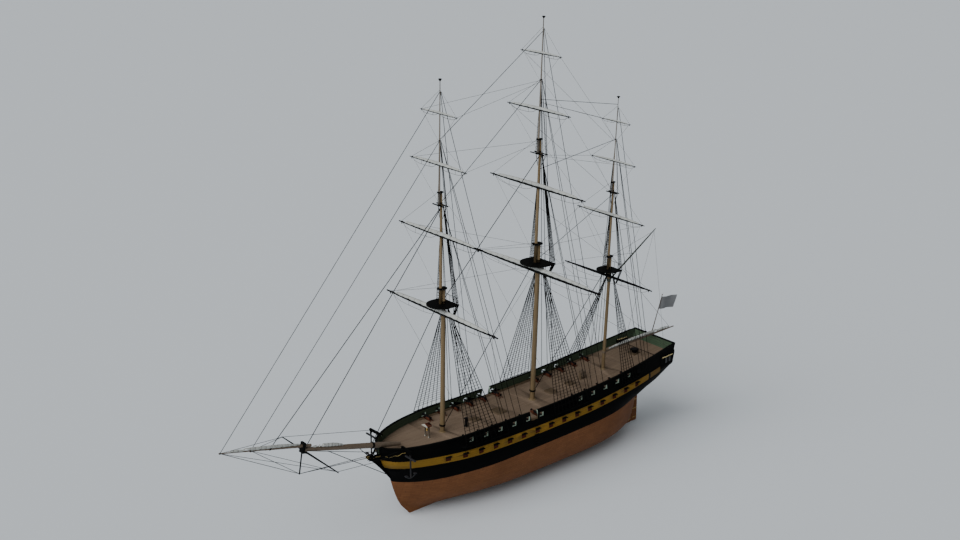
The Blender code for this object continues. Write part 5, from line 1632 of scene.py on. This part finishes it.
class FRIGATE_OT_stays(bpy.types.Operator):
    """Set up the stays and the rigging of the bowsprit"""

    bl_idname = "frigate.stays"
    bl_label = "Stays"

    def execute(self, context):
        sizes = context.scene.frigate_rig
        thick, thin = sizes.stay / 2, sizes.stay / 2 * 0.72
        fore, main, mizzen = MASTS["fore"], MASTS["main"], MASTS["mizzen"]
        boom = self.boom_point
        lines = [
            ((mast_place("fore", 5.753), boom(0.985)), thin),
            ((mast_place("fore", fore.stay), boom(0.63)), thin),
            ((mast_place("fore", fore.trees - 0.03), boom(0.40)), thick),
            ((mast_place("fore", fore.trees - 0.04), Vector((4.10, 0.0, 1.045))), thick),
            ((mast_place("main", 6.40), mast_place("fore", fore.stay + 0.01)), thin),
            ((mast_place("main", main.stay), mast_place("fore", fore.trees + 0.04)), thin),
            ((mast_place("main", main.trees - 0.03), mast_point("fore", fore.top + 0.05)), thick),
            ((mast_place("mizzen", 5.08), mast_place("main", 5.386)), thin),
            ((mast_place("mizzen", mizzen.stay), mast_place("main", 4.31)), thin),
            ((mast_place("mizzen", mizzen.trees - 0.03), mast_point("main", main.top + 0.05)), thin),
        ]
        foot = Vector((4.232, 0.0, 0.656))
        side_low = hull_side(2.80, 0.5, 0.1)
        for start in (boom(0.985), boom(0.63)):
            lines.append(((start, foot), thin))
        for side in (1, -1):
            lines.append(((foot, Vector((2.93, side * 0.030, 0.520))), thin))
            bow = Vector((2.79, side * (side_low + 0.002), 0.585))
            lines.append(((bow, Vector((4.10, side * 0.04, 0.985))), thin))
            arm_end = Vector((4.055, side * 0.700, 0.910))
            lines.append(((boom(0.985), arm_end), thin * 0.8))
            lines.append(((boom(0.63), arm_end), thin * 0.8))
            lines.append(((arm_end, Vector((2.66, side * 0.50, 0.655))), thin * 0.8))
        for start, end in (((3.743, 0, 0.853), (2.806, 0, 0.110)), ((3.21, 0, 0.728), (2.822, 0, 0.165))):
            stem = HULL_TREE.ray_cast(Vector((4, 0, end[2])), Vector((-1, 0, 0)))[0]
            point = Vector((stem.x - 0.004 if stem else end[0], 0, end[2]))
            lines.append(((Vector(start), point), thick))
        finish(line_piece("stays_and_guys", lines, 1), "hull", "tarred_rope", "tarred_line")
        collars = []
        for share, radius in ((0.985, 0.0095), (0.63, 0.017), (0.40, 0.0185)):
            point = boom(share)
            ahead = boom(share + 0.01)
            collars.append(ring(radius + 0.004, radius, 0.008, 0.002, 12, aim(point, ahead)))
        finish(join("stay_collars", collars), "hull", "tarred_rope", "tarred_line")
        return {"FINISHED"}

    def boom_point(self, share):
        start, end = Vector((4.160, 0, 1.068)), Vector((5.467, 0, 1.372))
        return start.lerp(end, share)


class FRIGATE_OT_running(bpy.types.Operator):
    """Lead the lifts, braces, halyards and vangs"""

    bl_idname = "frigate.running"
    bl_label = "Lifts and braces"

    def execute(self, context):
        sizes = context.scene.frigate_rig
        for mast, yard in YARDS:
            self.lifts(mast, yard, sizes)
            self.braces(mast, yard, sizes)
            self.sheets(mast, yard, sizes)
        self.spanker(sizes)
        return {"FINISHED"}

    def lifts(self, mast, yard, sizes):
        heights = MASTS[mast]
        head = {"course": heights.cap, "crossjack": heights.cap, "topsail": heights.top_cap,
                "topgallant": heights.stay, "royal": heights.truck - 0.16}[yard]
        lines = []
        for side in (1, -1):
            end = arm(mast, yard, side, 0.955)
            start = mast_place(mast, head)
            start.y = side * 0.012
            lines.append((led(start, end), sizes.running * 0.42))
        body = yard_name(mast, yard)
        self.lead(body + "_lifts", lines, body, start, arm(mast, yard, 1, 0.0))

    def braces(self, mast, yard, sizes):
        target, height = BRACES[(mast, yard)]
        lines = []
        ends = []
        for side in (1, -1):
            start = arm(mast, yard, side, 0.93)
            if target:
                end = mast_place(target, height)
                end.y = side * 0.03
            else:
                x = -2.86
                end = Vector((x, side * (rail_side(x) + 0.004), rail(x) - 0.02))
            ends.append(end)
            lines.append((led(start, end, 24), sizes.running * 0.42))
        body = yard_name(mast, yard)
        self.lead(body + "_braces", lines, body, ends[0], arm(mast, yard, 1, 0.0))

    def lead(self, name, lines, body, fixed, moving):
        """A rope with one end on the ship and the other on a spar that turns."""
        item = line_piece(name, lines, 0)
        item.data.materials.clear()
        item.data.materials.append(bpy.data.materials["hemp_rope"])
        smooth(item)
        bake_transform(item)

    def sheets(self, mast, yard, sizes):
        """Leads from the yardarms down to the rail, the top or the crosstrees of the same side."""
        if yard == "crossjack":
            return
        top, trees, half, stay = MASTS[mast].top, MASTS[mast].trees, MASTS[mast].half, MASTS[mast].stay
        lines = []
        for side in (1, -1):
            start = arm(mast, yard, side, 0.90)
            if yard == "course":
                x = 1.0 if mast == "fore" else -0.9
                end = Vector((x, side * (rail_side(x) - 0.008), rail(x) + 0.004))
            elif yard == "topsail":
                end = mast_point(mast, top + 0.004, -half * 0.45, side * half * 0.80)
            else:
                end = mast_place(mast, trees - 0.02 if yard == "topgallant" else stay - 0.03)
                end.y = side * 0.012
            lines.append((led(start, end), sizes.running * 0.36))
        body = yard_name(mast, yard)
        self.lead(body + "_sheets", lines, body, end, start)

    def spanker(self, sizes):
        """Topping lifts of the boom, peak halyards and vangs of the gaff."""
        thick = sizes.running * 0.5
        boom_end, peak = Vector((-3.40, 0, 0.945)), Vector((-2.90, 0, 2.795))
        head = mast_point("mizzen", MASTS["mizzen"].cap - 0.01, -0.02)
        inner = peak.lerp(Vector((-1.88, 0, 2.15)), 0.45)
        for name, body, end in (("boom_topping_lift", "spanker_boom", boom_end),
                                ("peak_halyard", "gaff", peak), ("gaff_span", "gaff", inner)):
            self.lead(name, [(led(head, end), thick)], body, head, end)
        vangs = []
        for side in (1, -1):
            end = Vector((-2.80, side * 0.43, rail(-2.80) + 0.004))
            vangs.append((led(peak, end), thick * 0.8))
        self.lead("gaff_vangs", vangs, "gaff", Vector((-2.80, 0, 0.86)), peak)


class FRIGATE_OT_anchors(bpy.types.Operator):
    """Blacken the anchors and add their rings"""

    bl_idname = "frigate.anchors"
    bl_label = "Anchors"

    def execute(self, context):
        for word in ("port", "starboard"):
            low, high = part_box("anchor_" + word)
            skin("anchor_" + word, "iron_anchor_" + word, "anchor_iron", ["bower_iron"])
            x, y = (low.x + high.x) / 2, (low.y + high.y) / 2
            ring = [Vector((x + 0.017 * math.cos(a), y, high.z - 0.006 + 0.017 * math.sin(a)))
                    for a in (2 * math.pi * k / 14 for k in range(15))]
            iron = line_piece("anchor_ring_" + word, [(ring, 0.0030)], 1)
            finish(iron, "hull", "anchor_iron", "bower_iron")
        return {"FINISHED"}


class FRIGATE_OT_ensign(bpy.types.Operator):
    """Hoist the plain ensign on its staff"""

    bl_idname = "frigate.ensign"
    bl_label = "Ensign"

    def execute(self, context):
        skin("ensign_staff", "ensign_staff_wood", "varnished_wood", ["boom_wood"])
        base = Vector((-3.030, -0.075, 0.8827))
        tip = Vector((-3.270, -0.075, 1.560))
        way = (tip - base).normalized()
        length = (tip - base).length
        nothing_selected()
        columns, rows = 48, 28
        bpy.ops.mesh.primitive_grid_add(x_subdivisions=columns, y_subdivisions=rows, size=1.0)
        item = context.object
        for vertex in item.data.vertices:
            share, rise = vertex.co.x + 0.5, vertex.co.y + 0.5
            out = 0.0074 + share * 0.376
            sway = 0.016 * math.sin(share * math.pi * 2.2) + 0.005 * share * math.sin(
                share * 11 + rise * 3.1) + 0.003 * share * math.cos(rise * 6 - share * 4)
            point = base + way * (length * (0.620 + 0.310 * rise)) + Vector((-out, sway, -0.05 * share))
            point.z -= 0.004 * math.sin(share * 9 + rise * 2) * share
            vertex.co = point
        item.name = "ensign_cloth"
        thick = item.modifiers.new("thickness", "SOLIDIFY")
        thick.thickness = 0.0012
        thick.offset = 0.0
        take(item)
        bpy.ops.object.modifier_apply(modifier="thickness")
        with editing(item):
            bpy.ops.mesh.normals_make_consistent(inside=False)
        finish(item, "hull", "ensign_cloth", "flag_cloth", angle=60.0)
        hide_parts("ensign")
        line = [base + way * (length * k) + Vector((-0.010, 0.004, 0)) for k in (0.02, 0.96)]
        finish(line_piece("ensign_halyard", [(line, 0.0012)], 0), "hull", "tarred_rope", "hemp_rope")
        return {"FINISHED"}


class FRIGATE_PT_panel(bpy.types.Panel):
    """Lists the steps that dress the ship"""

    bl_idname = "FRIGATE_PT_panel"
    bl_label = "Sailing Frigate"
    bl_space_type = "VIEW_3D"
    bl_region_type = "UI"
    bl_category = "Frigate"

    def draw(self, context):
        layout = self.layout
        for settings in ("frigate_colours", "frigate_rig", "frigate_stage"):
            box = layout.box()
            values = getattr(context.scene, settings)
            for name in values.__annotations__:
                box.prop(values, name)
        for step in STEPS:
            layout.operator(step.bl_idname)


SETTINGS = (HullColours, RigSizes, StageSetup)
STEPS = (FRIGATE_OT_stage, FRIGATE_OT_hull, FRIGATE_OT_hull_trim, FRIGATE_OT_guns, FRIGATE_OT_deck_gear,
         FRIGATE_OT_head, FRIGATE_OT_stern, FRIGATE_OT_masts, FRIGATE_OT_yards, FRIGATE_OT_fore_and_aft,
         FRIGATE_OT_shrouds, FRIGATE_OT_stays, FRIGATE_OT_running, FRIGATE_OT_anchors, FRIGATE_OT_ensign)


def register():
    for item in SETTINGS + STEPS + (FRIGATE_PT_panel,):
        bpy.utils.register_class(item)
    bpy.types.Scene.frigate_colours = PointerProperty(type=HullColours)
    bpy.types.Scene.frigate_rig = PointerProperty(type=RigSizes)
    bpy.types.Scene.frigate_stage = PointerProperty(type=StageSetup)


def unregister():
    del bpy.types.Scene.frigate_stage
    del bpy.types.Scene.frigate_rig
    del bpy.types.Scene.frigate_colours
    for item in reversed(SETTINGS + STEPS + (FRIGATE_PT_panel,)):
        bpy.utils.unregister_class(item)


def main():
    """Dress the whole ship."""
    register()
    build_materials()
    for step in STEPS:
        area, name = step.bl_idname.split(".")
        getattr(getattr(bpy.ops, area), name)()
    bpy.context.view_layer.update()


if __name__ == "__main__":
    main()
